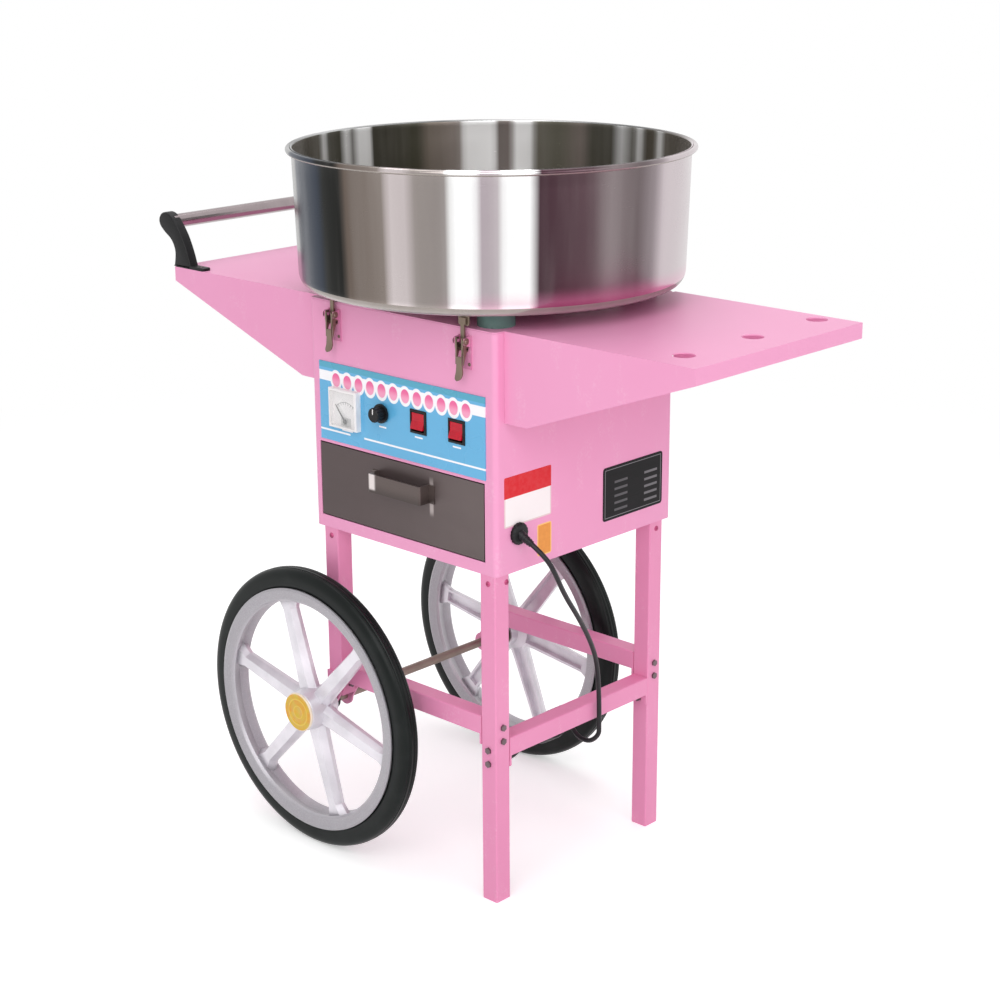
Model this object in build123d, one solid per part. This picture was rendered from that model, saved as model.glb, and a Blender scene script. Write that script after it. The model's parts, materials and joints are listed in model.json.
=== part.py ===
from build123d import *
from math import atan2, cos, degrees, hypot, pi, radians, sin, tan
import os

# Electric candy floss cart: a spinner machine on a two-wheeled stand, with folded side shelves.
# Millimetres. X runs along the cabinet's front, Y from the front to the back, Z up from the floor.
# The origin is on the spinner's axis, at floor level.

# cabinet
cabinet_width = 329.5
cabinet_depth = 337.8
cabinet_bottom = 444.0
cabinet_top = 750.0
sheet = 1.5                      # folded steel sheet
bend_radius = 7.0
flange_depth = 14.0              # return flanges at the cabinet's open back
seam_gap = 0.3                   # between pieces that are screwed together
vent_count = 6
vent_length = 120.0
vent_width = 6.0
vent_pitch = 16.0
vent_bottom = 60.0               # lowest vent, above the cabinet's bottom

# stand
leg_size = 25.4                  # square tube
leg_wall = 1.5
leg_corner = 2.0
leg_inset_right = 3.2            # from the cabinet's right side
leg_inset_left = 14.8            # left legs stand further in, above the axle
leg_inset_front = 0.5
leg_inset_rear = 12.7
leg_plug_depth = 22.0            # stubs under the base that enter the legs
cross_rail_bottom = 228.0        # front and rear rails
side_rail_bottom = 197.0
end_plate = 3.0
end_plate_drop = 13.0            # below the rail, for the second bolt
bolt_radius = 2.5
bolt_clearance = 0.25
bolt_head_radius = 4.6
bolt_head_height = 2.6
bolt_rise = 13.0                 # upper bolt, above the rail's lower face
bolt_fall = 5.5                  # lower bolt, below it

# wheels
tyre_radius = 195.0
tyre_width = 28.0
rim_radius = 169.0
rim_inner_radius = 150.0
rim_width = 35.8
wheel_plane = 201.0              # middle of each wheel, from the middle of the cart
axle_x = -148.0
axle_radius = 6.0
running_clearance = 0.06         # radial, for shafts and pins
spoke_count = 6
front_spoke_angle = 46.75        # from the X axis towards Z
rear_spoke_angle = 51.5
spoke_root_width = 30.0
spoke_tip_width = 22.0
spoke_depth = 16.0
hub_radius = 27.0
hub_out = 24.5                   # hub barrel beyond the wheel's plane, outwards
hub_in = 28.6                    # and inwards
bearing_radius = 16.0
bearing_width = 10.0
bearing_recess = 6.0             # outer bearing, behind the barrel's end, for the axle nut
cap_radius = 27.0
cap_height = 3.0
hanger_thickness = 3.0
hanger_radius = 13.5
hanger_rise = 33.0               # cheeks reach this far up the leg

# shelves
wing_front = -153.6
wing_rear = 170.0
right_wing_reach = 287.3         # beyond the cabinet's side
left_wing_reach = 298.3
fascia_height = 19.6
gusset_height = 112.8
gusset_flat = 36.0               # level stretch of the gusset's lower edge, beside the cabinet
wing_flange = 30.0
cone_hole_radius = 13.5
cone_hole_count = 3
cone_hole_spacing = 129.0
cone_row_from_tip = 51.0
first_cone_from_front = 43.6

# handle
handle_radius = 9.6
handle_wall = 1.5
handle_x = -472.0
handle_z = 811.0
handle_bracket_thickness = 15.0
handle_bracket_inset = 7.6       # middle of each bracket, from the shelf's edge
handle_socket = 9.0              # depth of the tube's seat in a bracket
handle_foot_end = -402.0
handle_foot_start = -463.0
handle_foot = 4.0

# bowl
bowl_rim_radius = 260.0
bowl_rim_z = 944.0
rim_overhang = 7.3               # of the rolled rim, beyond the wall
wall_flare = 11.0                # the wall widens this much from foot to rim
bowl_corner_width = 11.0
bowl_corner_height = 17.0
bowl_floor_z = 770.5
bowl_wall = 1.5
rim_bead_radius = 3.6
bowl_hole_radius = 85.0
keeper_drop = 17.5               # keepers reach this far under the bowl's floor
collar_height = 12.0
locating_clearance = 0.5
pad_radius = 23.0
pad_place = 133.5                # pads, from the axis along X and Y

# latches, all distances measured outwards from the cabinet's face
latch_x = 116.0
latch_base_width = 22.0
latch_base_bottom = 700.0
latch_base_top = 741.0
lever_width = 14.0
lever_bottom = 687.0
lever_pin_z = 735.0
lever_pin_out = 8.0
lever_pin_radius = 2.0
hook_pin_z = 725.0
hook_pin_out = 4.4
hook_pin_radius = 1.5
hook_width = 6.0
hook_head_width = 11.0
hook_thickness = 2.0
hook_top = 763.0
keeper_thickness = 2.0
keeper_width = 18.0
keeper_gap = 0.4                 # between a hook and its keeper
latch_sheet = 1.5

# control panel
panel_width = 297.0
panel_bottom = 565.4
panel_top = 669.4
panel_thickness = 1.2
meter_x = -97.5
meter_z = 613.0
meter_size = 52.0
meter_proud = 9.0
meter_lip = 3.0
meter_body_inset = 5.0
meter_depth = 26.0               # behind the panel
meter_pivot_rise = 9.0           # above the case's lower edge
meter_rest_angle = 40.0
needle_length = 27.0
knob_x = -31.0
knob_z = 618.7
knob_radius = 9.5
knob_skirt_radius = 12.5
knob_skirt = 2.5
knob_height = 15.0
knob_clearance = 0.4
bush_radius = 5.5
bush_depth = 14.0
knob_shaft_radius = 3.0
rocker_x = (34.0, 100.7)
rocker_z = 618.6
bezel_width = 28.5
bezel_height = 30.5
bezel_wall = 3.0
bezel_proud = 2.0
bezel_inset = 1.5
bezel_depth = 20.0
rocker_clearance = 0.5
rocker_travel = 20.0
rocker_pivot_depth = 4.0
rocker_pin_radius = 1.5
rocker_pin = 1.2                 # length of each pivot pin, in the bezel's side wall
fitting_clearance = 0.4          # round fittings in the panel's holes

# drawer
drawer_left = -150.6
drawer_right = 144.5
drawer_bottom = 461.5
drawer_top = 559.5
drawer_length = 262.0
drawer_gap = 1.5                 # between the drawer's front and the opening's edges
drawer_sheet = 1.2
drawer_proud = 0.5
tray_inset = 9.0
tray_flange = 4.0
runner_web = 20.0
runner_clearance = 0.5
pull_middle = 4.0
pull_width = 94.0
pull_height = 24.0
pull_z = 529.0
pull_reach = 18.0
pull_sheet = 2.0

# spinner
motor_radius = 52.0
motor_height = 118.0
motor_top = 728.0
bridge_reach = 92.0
bridge_width = 28.0
shaft_radius = 5.0
slip_ring_radius = 18.0
slip_ring_width = 6.0
slip_ring_rise = 30.0            # lower ring, above the motor
head_radius = 66.0
head_floor = 806.0
head_height = 34.0
head_wall = 2.0
slot_count = 36
slot_width = 2.6
cap_hole_radius = 20.0
heater_inset = 9.0

# mains lead
cord_radius = 3.2
gland_y = -130.0
gland_z = 493.0
gland_collar = 6.0
gland_radius = 14.0
gland_neck_radius = 8.0
gland_neck = 12.0
boot_length = 20.0
boot_heading = (0.80, 0.20, -0.566)
first_run = 24.0                 # straight out of the boot
turn_radius = 25.6               # where the lead turns up behind the rail
hank_centre_z = 187.0
hank_fold = 19.2                 # radius of the folds at the hank's ends
hank_run = 98.0
hank_loops = 4
hank_step = 6.95                 # from loop to loop, across
hank_drop = 4.4                  # from loop to loop, down
waist_draw = 8.0
shoulder_length = 28.0
tail_rise = 22.0
tail_length = 48.0
tail_run = 6.4
plug_tail = 22.0
plug_length = 36.0
plug_width = 27.0
plug_height = 26.0
clip_gap = 0.4
clip_width = 12.0
clip_sheet = 1.6

half_w = cabinet_width / 2
half_d = cabinet_depth / 2
front_face = -half_d
right_leg_x = half_w - leg_inset_right - leg_size / 2
left_leg_x = -half_w + leg_inset_left + leg_size / 2
leg_y = {-1: -half_d + leg_inset_front + leg_size / 2, 1: half_d - leg_inset_rear - leg_size / 2}
axle_z = tyre_radius
left_leg_bottom = axle_z + axle_radius + 6.0
bowl_top_radius = bowl_rim_radius - rim_overhang
bowl_base_radius = bowl_top_radius - wall_flare
spigot_radius = bowl_hole_radius - locating_clearance - sheet
spigot_height = bowl_floor_z - cabinet_top + 6.0
ring_z = motor_top + slip_ring_rise
meter_pivot_z = meter_z - meter_size / 2 + meter_pivot_rise
lead_x = right_leg_x + leg_size / 2 + 7.0
lead_points = [
    (211.0, -113.0, 447.0), (204.0, -88.0, 411.0), (195.0, -50.5, 368.0),
    (184.0, -16.0, 326.0), (174.0, 9.5, 288.0), (169.0, 20.0, 246.0), (lead_x, 22.0, 212.0),
    (lead_x, 22.0, hank_centre_z),
]
parts = {}


def box(x0, x1, y0, y1, z0, z1):
    """A box between two corners, given in any order."""
    return Pos((x0 + x1) / 2, (y0 + y1) / 2, (z0 + z1) / 2) * Box(abs(x1 - x0), abs(y1 - y0), abs(z1 - z0))


def rod(radius, start, end):
    """A round bar from one point to another."""
    line = Vector(*end) - Vector(*start)
    return Plane(origin=start, z_dir=line) * extrude(Circle(radius), line.length)


def tube(outer, inner, start, end):
    """A round tube from one point to another."""
    line = Vector(*end) - Vector(*start)
    return Plane(origin=start, z_dir=line) * extrude(Circle(outer) - Circle(inner), line.length)


def turned(points):
    """A solid turned about Z from a profile of (radius, height) points."""
    return revolve(make_face(Polyline(*[(r, 0, z) for r, z in points], close=True)), Axis.Z)


def plate_xz(points, y0, y1):
    """A plate with its outline in X and Z, between two Y planes."""
    face = make_face(Polyline(*[(x, y0, z) for x, z in points], close=True))
    return extrude(face, amount=y1 - y0, dir=(0, 1, 0))


def plate_yz(points, x0, x1):
    """A plate with its outline in Y and Z, between two X planes."""
    face = make_face(Polyline(*[(x0, y, z) for y, z in points], close=True))
    return extrude(face, amount=x1 - x0, dir=(1, 0, 0))


def solids(*pieces):
    """Several separate solids as one compound."""
    found = []
    for piece in pieces:
        found += piece.solids()
    return Compound(children=found)


def square_tube(size, wall, length):
    """A square tube along Z, with rounded edges."""
    inner = size - 2 * wall
    return extrude(RectangleRounded(size, size, leg_corner) - RectangleRounded(inner, inner, leg_corner / 3), length)


# ---- cabinet

def make_cabinet():
    """The cabinet: one folded sheet for front and sides, with a base, a back and a top."""
    outline = RectangleRounded(cabinet_width, cabinet_depth, bend_radius)
    hollow = RectangleRounded(cabinet_width - 2 * sheet, cabinet_depth - 2 * sheet, bend_radius - sheet)
    shell_top = cabinet_top - sheet - seam_gap
    shell = Pos(0, 0, cabinet_bottom) * extrude(outline - hollow, shell_top - cabinet_bottom)
    shell -= box(-half_w + flange_depth, half_w - flange_depth, half_d - 2 * sheet, half_d + 1,
                 cabinet_bottom - 1, cabinet_top)
    shell -= box(drawer_left - drawer_gap, drawer_right + drawer_gap, -half_d - 1, -half_d + 2 * sheet,
                 drawer_bottom - drawer_gap, drawer_top + drawer_gap)
    for tool in panel_cutters(-half_d - 1, -half_d + 2 * sheet, 2 * fitting_clearance):
        shell -= tool
    shell -= rod(gland_neck_radius + bolt_clearance, (half_w - 2 * sheet, gland_y, gland_z),
                 (half_w + 1, gland_y, gland_z))
    parts["cabinet_shell"] = shell

    inner_w = half_w - sheet - seam_gap
    base_front = -half_d + sheet + seam_gap
    back_inner = half_d - 2 * sheet - seam_gap
    base_rear = back_inner - seam_gap
    base = Pos(0, (base_front + base_rear) / 2, cabinet_bottom) * extrude(
        RectangleRounded(2 * inner_w, base_rear - base_front, bend_radius), sheet)
    plug = leg_size - 2 * leg_wall - 2 * seam_gap
    for x in (left_leg_x, right_leg_x):
        for y in leg_y.values():
            base += Pos(x, y, cabinet_bottom - leg_plug_depth) * extrude(
                RectangleRounded(plug, plug, leg_corner) - RectangleRounded(plug - 2 * sheet, plug - 2 * sheet, 0.5),
                leg_plug_depth)
    parts["base_plate"] = base

    back_w = half_w - bend_radius
    back = box(-back_w, back_w, back_inner, back_inner + sheet, cabinet_bottom, shell_top)
    vent = Plane(origin=(0, back_inner - 1, cabinet_bottom + vent_bottom), x_dir=(1, 0, 0), z_dir=(0, 1, 0))
    for row in range(vent_count):
        back -= Pos(0, 0, row * vent_pitch) * (vent * extrude(SlotOverall(vent_length, vent_width), sheet + 2))
    parts["back_panel"] = back

    lid = outline - Circle(spigot_radius)
    ring = Circle(spigot_radius + sheet) - Circle(spigot_radius)
    parts["top_plate"] = Pos(0, 0, cabinet_top - sheet) * (extrude(lid, sheet) + extrude(ring, spigot_height + sheet))


def panel_cutters(y0, y1, grow):
    """The holes behind the meter, the knob's bush and the switches."""
    half = meter_size / 2 - meter_body_inset + grow
    cut = [box(meter_x - half, meter_x + half, y0, y1, meter_z - half, meter_z + half)]
    cut.append(rod(bush_radius + grow, (knob_x, y0, knob_z), (knob_x, y1, knob_z)))
    w, h = bezel_width / 2 - bezel_inset + grow, bezel_height / 2 - bezel_inset + grow
    for x in rocker_x:
        cut.append(box(x - w, x + w, y0, y1, rocker_z - h, rocker_z + h))
    return cut


# ---- control panel

def make_controls():
    """The panel plate, the dial meter, the knob and two rocker switches."""
    face = front_face - panel_thickness
    panel = box(-panel_width / 2, panel_width / 2, face, front_face, panel_bottom, panel_top)
    for tool in panel_cutters(face - 1, front_face + 1, fitting_clearance):
        panel -= tool
    parts["control_panel"] = panel
    make_meter(face)

    bush = tube(bush_radius, knob_shaft_radius + running_clearance, (knob_x, face - sheet, knob_z),
                (knob_x, front_face + bush_depth, knob_z))
    skirt = face - sheet - knob_clearance
    top = skirt - knob_height
    knob = rod(knob_skirt_radius, (knob_x, skirt, knob_z), (knob_x, skirt - knob_skirt, knob_z))
    grip = rod(knob_radius, (knob_x, skirt, knob_z), (knob_x, top, knob_z))
    knob += chamfer(grip.edges().group_by(Axis.Y)[0], 1.2)
    for n in range(12):
        groove = Pos(knob_radius + 0.4, 0, 0) * rod(1.2, (0, -1, 0), (0, knob_height - knob_skirt, 0))
        knob -= Pos(knob_x, top, knob_z) * Rot(0, n * 30, 0) * groove
    knob += rod(knob_shaft_radius, (knob_x, skirt, knob_z), (knob_x, front_face + bush_depth - 2, knob_z))
    parts["knob"] = knob

    frames = [bush]
    w, h = bezel_width / 2, bezel_height / 2
    for side, x in zip(("left", "right"), rocker_x):
        frame = box(x - w, x + w, face - bezel_proud, face, rocker_z - h, rocker_z + h)
        frame = chamfer(frame.edges().group_by(Axis.Y)[0], 1.0)
        frame += box(x - w + bezel_inset, x + w - bezel_inset, face, face + bezel_depth,
                     rocker_z - h + bezel_inset, rocker_z + h - bezel_inset)
        frame -= box(x - w + bezel_wall, x + w - bezel_wall, face - bezel_proud - 1, face + bezel_depth - 3,
                     rocker_z - h + bezel_wall, rocker_z + h - bezel_wall)
        pivot = face + rocker_pivot_depth
        frame -= rod(rocker_pin_radius + running_clearance, (x - w, pivot, rocker_z), (x + w, pivot, rocker_z))
        frames.append(frame)
        parts["rocker_" + side] = make_rocker(x, face)
    parts["panel_fittings"] = solids(*frames)


def make_meter(face):
    """A square dial meter: a case open to the front, a clear window and a needle on a pivot."""
    half = meter_size / 2
    floor = face - 2.0
    case = box(meter_x - half, meter_x + half, face - meter_proud, face, meter_z - half, meter_z + half)
    case = chamfer(case.edges().group_by(Axis.Y)[0], 1.2)
    body = half - meter_body_inset
    case += box(meter_x - body, meter_x + body, face, face + meter_depth, meter_z - body, meter_z + body)
    open_half = half - meter_lip
    case -= box(meter_x - open_half, meter_x + open_half, face - meter_proud - 1, floor,
                meter_z - open_half, meter_z + open_half)
    pivot = (meter_x, meter_pivot_z)
    case += rod(1.5, (pivot[0], floor, pivot[1]), (pivot[0], floor - 1.2, pivot[1]))
    parts["meter_case"] = case
    glass = face - meter_proud + 0.8
    parts["meter_window"] = box(meter_x - open_half, meter_x + open_half, glass, glass + 1.2,
                                meter_z - open_half, meter_z + open_half)
    hub = rod(3.2, (pivot[0], floor - 2.6, pivot[1]), (pivot[0], floor - 1.4, pivot[1]))
    blade = plate_xz([(-1.1, 0), (1.1, 0), (0.4, needle_length), (-0.4, needle_length)], floor - 2.4, floor - 1.8)
    parts["meter_needle"] = hub + Pos(pivot[0], 0, pivot[1]) * Rot(0, -meter_rest_angle, 0) * blade


def make_rocker(x, face):
    """A rocker: two faces that meet in a shallow valley, and a keel about its pivot."""
    half = bezel_width / 2 - bezel_wall - rocker_clearance
    reach = bezel_height / 2 - bezel_wall - rocker_clearance - 1.5
    lean = radians(rocker_travel / 2)
    pivot = face + rocker_pivot_depth
    outline = [(-reach, -7.0), (0, -5.2), (reach, -7.0), (reach * 0.86, 0), (0, 5.0), (-reach * 0.86, 0)]
    turn = [(pivot + z * sin(lean) + y * cos(lean), rocker_z + z * cos(lean) - y * sin(lean)) for z, y in outline]
    pin = half + rocker_clearance + rocker_pin
    return plate_yz(turn, x - half, x + half) + rod(rocker_pin_radius, (x - pin, pivot, rocker_z),
                                                    (x + pin, pivot, rocker_z))


# ---- shelves, stand and wheels

def make_wing(side, reach):
    """A shelf folded from one sheet: a top, deep gussets front and rear, and a fascia at the tip."""
    root = half_w + seam_gap
    tip = half_w + reach
    low = cabinet_top - gusset_height
    lip = cabinet_top - fascia_height
    outline = [(root, cabinet_top), (root, low), (root + gusset_flat, low), (tip, lip), (tip, cabinet_top)]
    wing = plate_xz(outline, wing_front, wing_rear)
    inside = [(root - 1, cabinet_top - sheet), (root - 1, low - 1), (root + gusset_flat, low - 1),
              (tip - sheet, lip - 1), (tip - sheet, cabinet_top - sheet)]
    wing -= plate_xz(inside, wing_front + sheet, wing_rear - sheet)
    wing += box(root, root + sheet, wing_front + sheet, wing_rear - sheet, cabinet_top - wing_flange,
                cabinet_top - sheet)
    if side < 0:
        return mirror(wing, Plane.YZ)
    for n in range(cone_hole_count):
        y = wing_front + first_cone_from_front + n * cone_hole_spacing
        wing -= Pos(tip - cone_row_from_tip, y, cabinet_top - 2 * sheet) * extrude(Circle(cone_hole_radius), 3 * sheet)
    return wing


def bolt(start, heading, length):
    """A hexagon bolt with its nut: the head lies outside the start, the nut starts at the length."""
    plane = Plane(origin=start, z_dir=heading)
    head = extrude(RegularPolygon(bolt_head_radius, 6), -bolt_head_height)
    shank = extrude(Circle(bolt_radius), length + 5.0)
    nut = Pos(0, 0, length) * extrude(RegularPolygon(bolt_head_radius, 6), 4.0)
    return plane * (head + shank + nut)


def hole_for(start, heading, length):
    """The clearance hole of such a bolt."""
    plane = Plane(origin=start, z_dir=heading)
    return plane * (Pos(0, 0, -1) * extrude(Circle(bolt_radius + bolt_clearance), length + 2))


def rail_solid(length):
    """A square tube along X from 0, with a plate at each end that reaches below it."""
    size = leg_size
    body = Pos(0, 0, size / 2) * Rot(0, 90, 0) * square_tube(size, leg_wall, length)
    for x in (0, length - end_plate):
        body += box(x, x + end_plate, -size / 2, size / 2, -end_plate_drop, size)
    return body


def make_stand():
    """Four square-tube legs, three rails, the axle and its hangers, and their bolts."""
    top = cabinet_bottom - seam_gap
    legs = {}
    for x_name, x, bottom in (("left", left_leg_x, left_leg_bottom), ("right", right_leg_x, 0.0)):
        for y_name, sign in (("front", -1), ("rear", 1)):
            legs[y_name, x_name] = Pos(x, leg_y[sign], bottom) * square_tube(leg_size, leg_wall, top - bottom)

    half = leg_size / 2
    bolts = []
    reach = leg_size + seam_gap + end_plate
    start = left_leg_x + half + seam_gap
    cross_length = right_leg_x - half - seam_gap - start
    rails = []
    for y_name, sign in (("front", -1), ("rear", 1)):
        y = leg_y[sign]
        rail = Pos(start, y, cross_rail_bottom) * rail_solid(cross_length)
        for z in (cross_rail_bottom + bolt_rise, cross_rail_bottom - bolt_fall):
            for x_name, x, heading in (("left", left_leg_x - half, 1), ("right", right_leg_x + half, -1)):
                place = (x, y, z)
                bolts.append(bolt(place, (heading, 0, 0), reach))
                hole = hole_for(place, (heading, 0, 0), reach)
                legs[y_name, x_name] -= hole
                rail -= hole
        rails.append(rail)
    parts["cross_rails"] = solids(*rails)

    side_start = leg_y[-1] + half + seam_gap
    side_length = leg_y[1] - half - seam_gap - side_start
    side = Pos(right_leg_x, side_start, side_rail_bottom) * Rot(0, 0, 90) * rail_solid(side_length)
    for z in (side_rail_bottom + bolt_rise, side_rail_bottom - bolt_fall):
        for y_name, sign in (("front", -1), ("rear", 1)):
            place = (right_leg_x, leg_y[sign] + sign * half, z)
            bolts.append(bolt(place, (0, -sign, 0), reach))
            hole = hole_for(place, (0, -sign, 0), reach)
            legs[y_name, "right"] -= hole
            side -= hole
    parts["right_rail"] = side

    cheeks = []
    grip = leg_size + 2 * seam_gap + 2 * hanger_thickness
    middle = (bolt_rise - bolt_fall) / 2 + cross_rail_bottom
    for y_name, sign in (("front", -1), ("rear", 1)):
        pair = []
        for face in (-1, 1):
            inner = leg_y[sign] + face * (half + seam_gap)
            pair.append(hanger_cheek(min(inner, inner + face * hanger_thickness)))
        for z in (middle, left_leg_bottom + 9.5):
            place = (left_leg_x, leg_y[sign] + sign * grip / 2, z)
            bolts.append(bolt(place, (0, -sign, 0), grip))
            hole = hole_for(place, (0, -sign, 0), grip)
            legs[y_name, "left"] -= hole
            pair = [cheek - hole for cheek in pair]
        cheeks += pair
    parts["axle_hangers"] = solids(*cheeks)
    parts["frame_bolts"] = solids(*bolts)
    for (y_name, x_name), leg in legs.items():
        parts["leg_%s_%s" % (y_name, x_name)] = leg

    nut = wheel_plane + hub_out - bearing_recess + seam_gap
    axle = rod(axle_radius, (axle_x, -nut - 4.5, axle_z), (axle_x, nut + 4.5, axle_z))
    for sign in (-1, 1):
        plane = Plane(origin=(axle_x, sign * nut, axle_z), z_dir=(0, sign, 0))
        axle += plane * extrude(RegularPolygon(10.0, 6), 4.0)
    parts["axle"] = axle


def hanger_cheek(y0):
    """A flat cheek on a left leg, with a round eye that carries the axle."""
    left, right = left_leg_x - leg_size / 2, left_leg_x + leg_size / 2
    top = left_leg_bottom + hanger_rise
    y1 = y0 + hanger_thickness
    cheek = plate_xz([(axle_x - hanger_radius, axle_z), (axle_x + hanger_radius, axle_z), (right, left_leg_bottom + 4),
                      (right, top), (left, top), (left, left_leg_bottom + 4)], y0, y1)
    cheek += rod(hanger_radius, (axle_x, y0, axle_z), (axle_x, y1, axle_z))
    return cheek - rod(axle_radius + running_clearance, (axle_x, y0 - 1, axle_z), (axle_x, y1 + 1, axle_z))


def wheel_pieces():
    """A wheel about the Z axis, its outer face towards -Z: tyre, spoked rim, cap and bearings."""
    half = tyre_width / 2
    w = rim_width / 2
    seat = rim_radius - 6
    tyre = turned([(seat, -half + 5), (rim_radius + 1, -half), (rim_radius + 12, -half), (tyre_radius - 7, -half + 4),
                   (tyre_radius - 1.5, -half + 9), (tyre_radius, -3), (tyre_radius, 3), (tyre_radius - 1.5, half - 9),
                   (tyre_radius - 7, half - 4), (rim_radius + 12, half), (rim_radius + 1, half), (seat, half - 5)])
    gap = seam_gap
    rim = turned([(rim_radius - 3, -w), (rim_radius, -w + 1.5), (rim_radius, -half - gap),
                  (seat - gap, -half + 5 - gap), (seat - gap, half - 5 + gap), (rim_radius, half + gap),
                  (rim_radius, w - 1.5), (rim_radius - 3, w), (rim_inner_radius + 3, w - 2.5),
                  (rim_inner_radius, w - 6), (rim_inner_radius + 4, 0), (rim_inner_radius, -w + 6),
                  (rim_inner_radius + 3, -w + 2.5)])
    hub = turned([(0, -hub_out), (hub_radius - 2, -hub_out), (hub_radius, -hub_out + 2), (hub_radius + 2, -9),
                  (hub_radius + 2, 8), (bearing_radius + 3, hub_in - 12), (bearing_radius + 3, hub_in), (0, hub_in)])
    body = rim + hub
    spoke = make_spoke()
    for n in range(spoke_count):
        body += Rot(0, 0, n * 360 / spoke_count) * spoke
    outer = -hub_out + bearing_recess
    body -= rod(bearing_radius, (0, 0, -hub_out - 1), (0, 0, outer + bearing_width))
    body -= rod(bearing_radius, (0, 0, hub_in + 1), (0, 0, hub_in - bearing_width))
    body -= rod(axle_radius + 4, (0, 0, -hub_out), (0, 0, hub_in))
    bearings = [tube(bearing_radius, axle_radius + running_clearance, (0, 0, z), (0, 0, z + bearing_width))
                for z in (outer, hub_in - bearing_width)]
    skirt = bearing_radius - 0.2
    cap = turned([(0, -hub_out - cap_height), (cap_radius - 4, -hub_out - cap_height), (cap_radius, -hub_out - 1),
                  (cap_radius, -hub_out), (skirt, -hub_out), (skirt, outer - 3.0), (skirt - 2, outer - 3.0),
                  (skirt - 2, -hub_out - cap_height / 2), (0, -hub_out - cap_height / 2)])
    return {"tyre": tyre, "rim": body, "bearings": solids(*bearings), "hub_cap": cap}


def make_spoke():
    """A spoke along X: a hollow-backed section, wide and deep at the hub, that flares into the rim."""
    start, end = hub_radius - 4, rim_inner_radius + 3
    stations = ((start, spoke_root_width, spoke_depth), (start + 22, spoke_root_width * 0.86, spoke_depth),
                (end - 16, spoke_tip_width, spoke_depth * 0.85), (end, spoke_tip_width * 1.7, spoke_depth * 0.85))
    outside, inside = [], []
    for x, wide, deep in stations:
        a, d = wide / 2, deep / 2
        outside.append(make_face(Polyline((x, -a * 0.62, -d), (x, a * 0.62, -d), (x, a, d * 0.2), (x, a, d),
                                          (x, -a, d), (x, -a, d * 0.2), close=True)))
        b = a * 0.55
        inside.append(make_face(Polyline((x, -b, d * 0.1), (x, b, d * 0.1), (x, b * 1.25, d + 1),
                                         (x, -b * 1.25, d + 1), close=True)))
    return loft(outside, ruled=True) - loft(inside[:3], ruled=True)


def make_wheels():
    """The front wheel, and the rear wheel turned about to face the other way."""
    pieces = wheel_pieces()
    for name, side, angle in (("front", -1, front_spoke_angle), ("rear", 1, rear_spoke_angle)):
        place = Pos(axle_x, side * wheel_plane, axle_z) * Rot(0, -angle, 0) * Rot(side * 90, 0, 0)
        for piece, solid in pieces.items():
            parts[name + "_" + piece] = place * solid


def make_handle():
    """A push bar between two hooked brackets on the left shelf."""
    brackets = []
    middles = (wing_front + handle_bracket_inset, wing_rear - handle_bracket_inset)
    half = handle_bracket_thickness / 2
    top = cabinet_top
    rise = handle_z - top
    for y, inward in zip(middles, (1, -1)):
        y0 = y - half
        heel, neck, throat, nose, brow, crown, cheek, shin, toe = [
            (handle_x + across * rise, y0, top + up * rise) for across, up in (
                (0.115, 0), (0.164, 0.344), (0.049, 0.59), (-0.377, 0.852), (-0.279, 1.098), (0, 1.23),
                (0.213, 1.0), (0.459, 0.656), (0.721, 0))]
        outline = (Spline(heel, neck, throat, nose) + ThreePointArc(nose, brow, crown)
                   + Spline(crown, cheek, shin, toe) + Line(toe, heel))
        bracket = extrude(make_face(outline), amount=2 * half, dir=(0, 1, 0))
        bracket += box(handle_foot_start, handle_foot_end, y - half, y + half, top, top + handle_foot)
        mouth = y + inward * half
        bracket -= rod(handle_radius + seam_gap, (handle_x, mouth + inward, handle_z),
                       (handle_x, mouth - inward * handle_socket, handle_z))
        brackets.append(bracket)
    parts["handle_brackets"] = solids(*brackets)
    reach = half - handle_socket + seam_gap
    parts["handle_tube"] = tube(handle_radius, handle_radius - handle_wall, (handle_x, middles[0] + reach, handle_z),
                                (handle_x, middles[1] - reach, handle_z))


# ---- bowl and latches

def make_bowl():
    """The spun bowl: rounded foot, sloping wall, rolled rim, centre collar, and keepers welded under the floor."""
    t = bowl_wall
    z0, z1 = bowl_floor_z, bowl_rim_z
    r0 = bowl_base_radius
    flat = r0 - bowl_corner_width
    corner = z0 + bowl_corner_height
    neck = z1 - 2 * rim_bead_radius
    shell = turned([
        (bowl_hole_radius, z0), (flat, z0), (flat + bowl_corner_width * 0.62, z0 + bowl_corner_height * 0.2),
        (flat + bowl_corner_width * 0.92, z0 + bowl_corner_height * 0.55), (r0, corner), (bowl_top_radius, neck),
        (bowl_rim_radius - 2, neck), (bowl_rim_radius, neck + 2), (bowl_rim_radius, z1 - 2), (bowl_rim_radius - 2, z1),
        (bowl_top_radius - t + 2, z1), (bowl_top_radius - t, z1 - 2), (bowl_top_radius - t, neck),
        (r0 - t, corner + 0.5), (flat + bowl_corner_width * 0.8, z0 + bowl_corner_height * 0.6),
        (flat + bowl_corner_width * 0.5, z0 + bowl_corner_height * 0.2 + t), (flat - 0.5, z0 + t),
        (bowl_hole_radius + t, z0 + t), (bowl_hole_radius + t, z0 + collar_height),
        (bowl_hole_radius, z0 + collar_height)])
    outer = keeper_out() + keeper_thickness
    keepers = [box(x - keeper_width / 2, x + keeper_width / 2, sign * (half_d + keeper_out()),
                   sign * (half_d + outer), z0 - keeper_drop, z0) for x, sign in latch_places()]
    parts["bowl"] = solids(shell, *keepers)
    pad = extrude(Circle(pad_radius), bowl_floor_z - cabinet_top)
    parts["bowl_pads"] = solids(*[Pos(x, y, cabinet_top) * pad
                                  for x in (-pad_place, pad_place) for y in (-pad_place, pad_place)])


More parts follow.
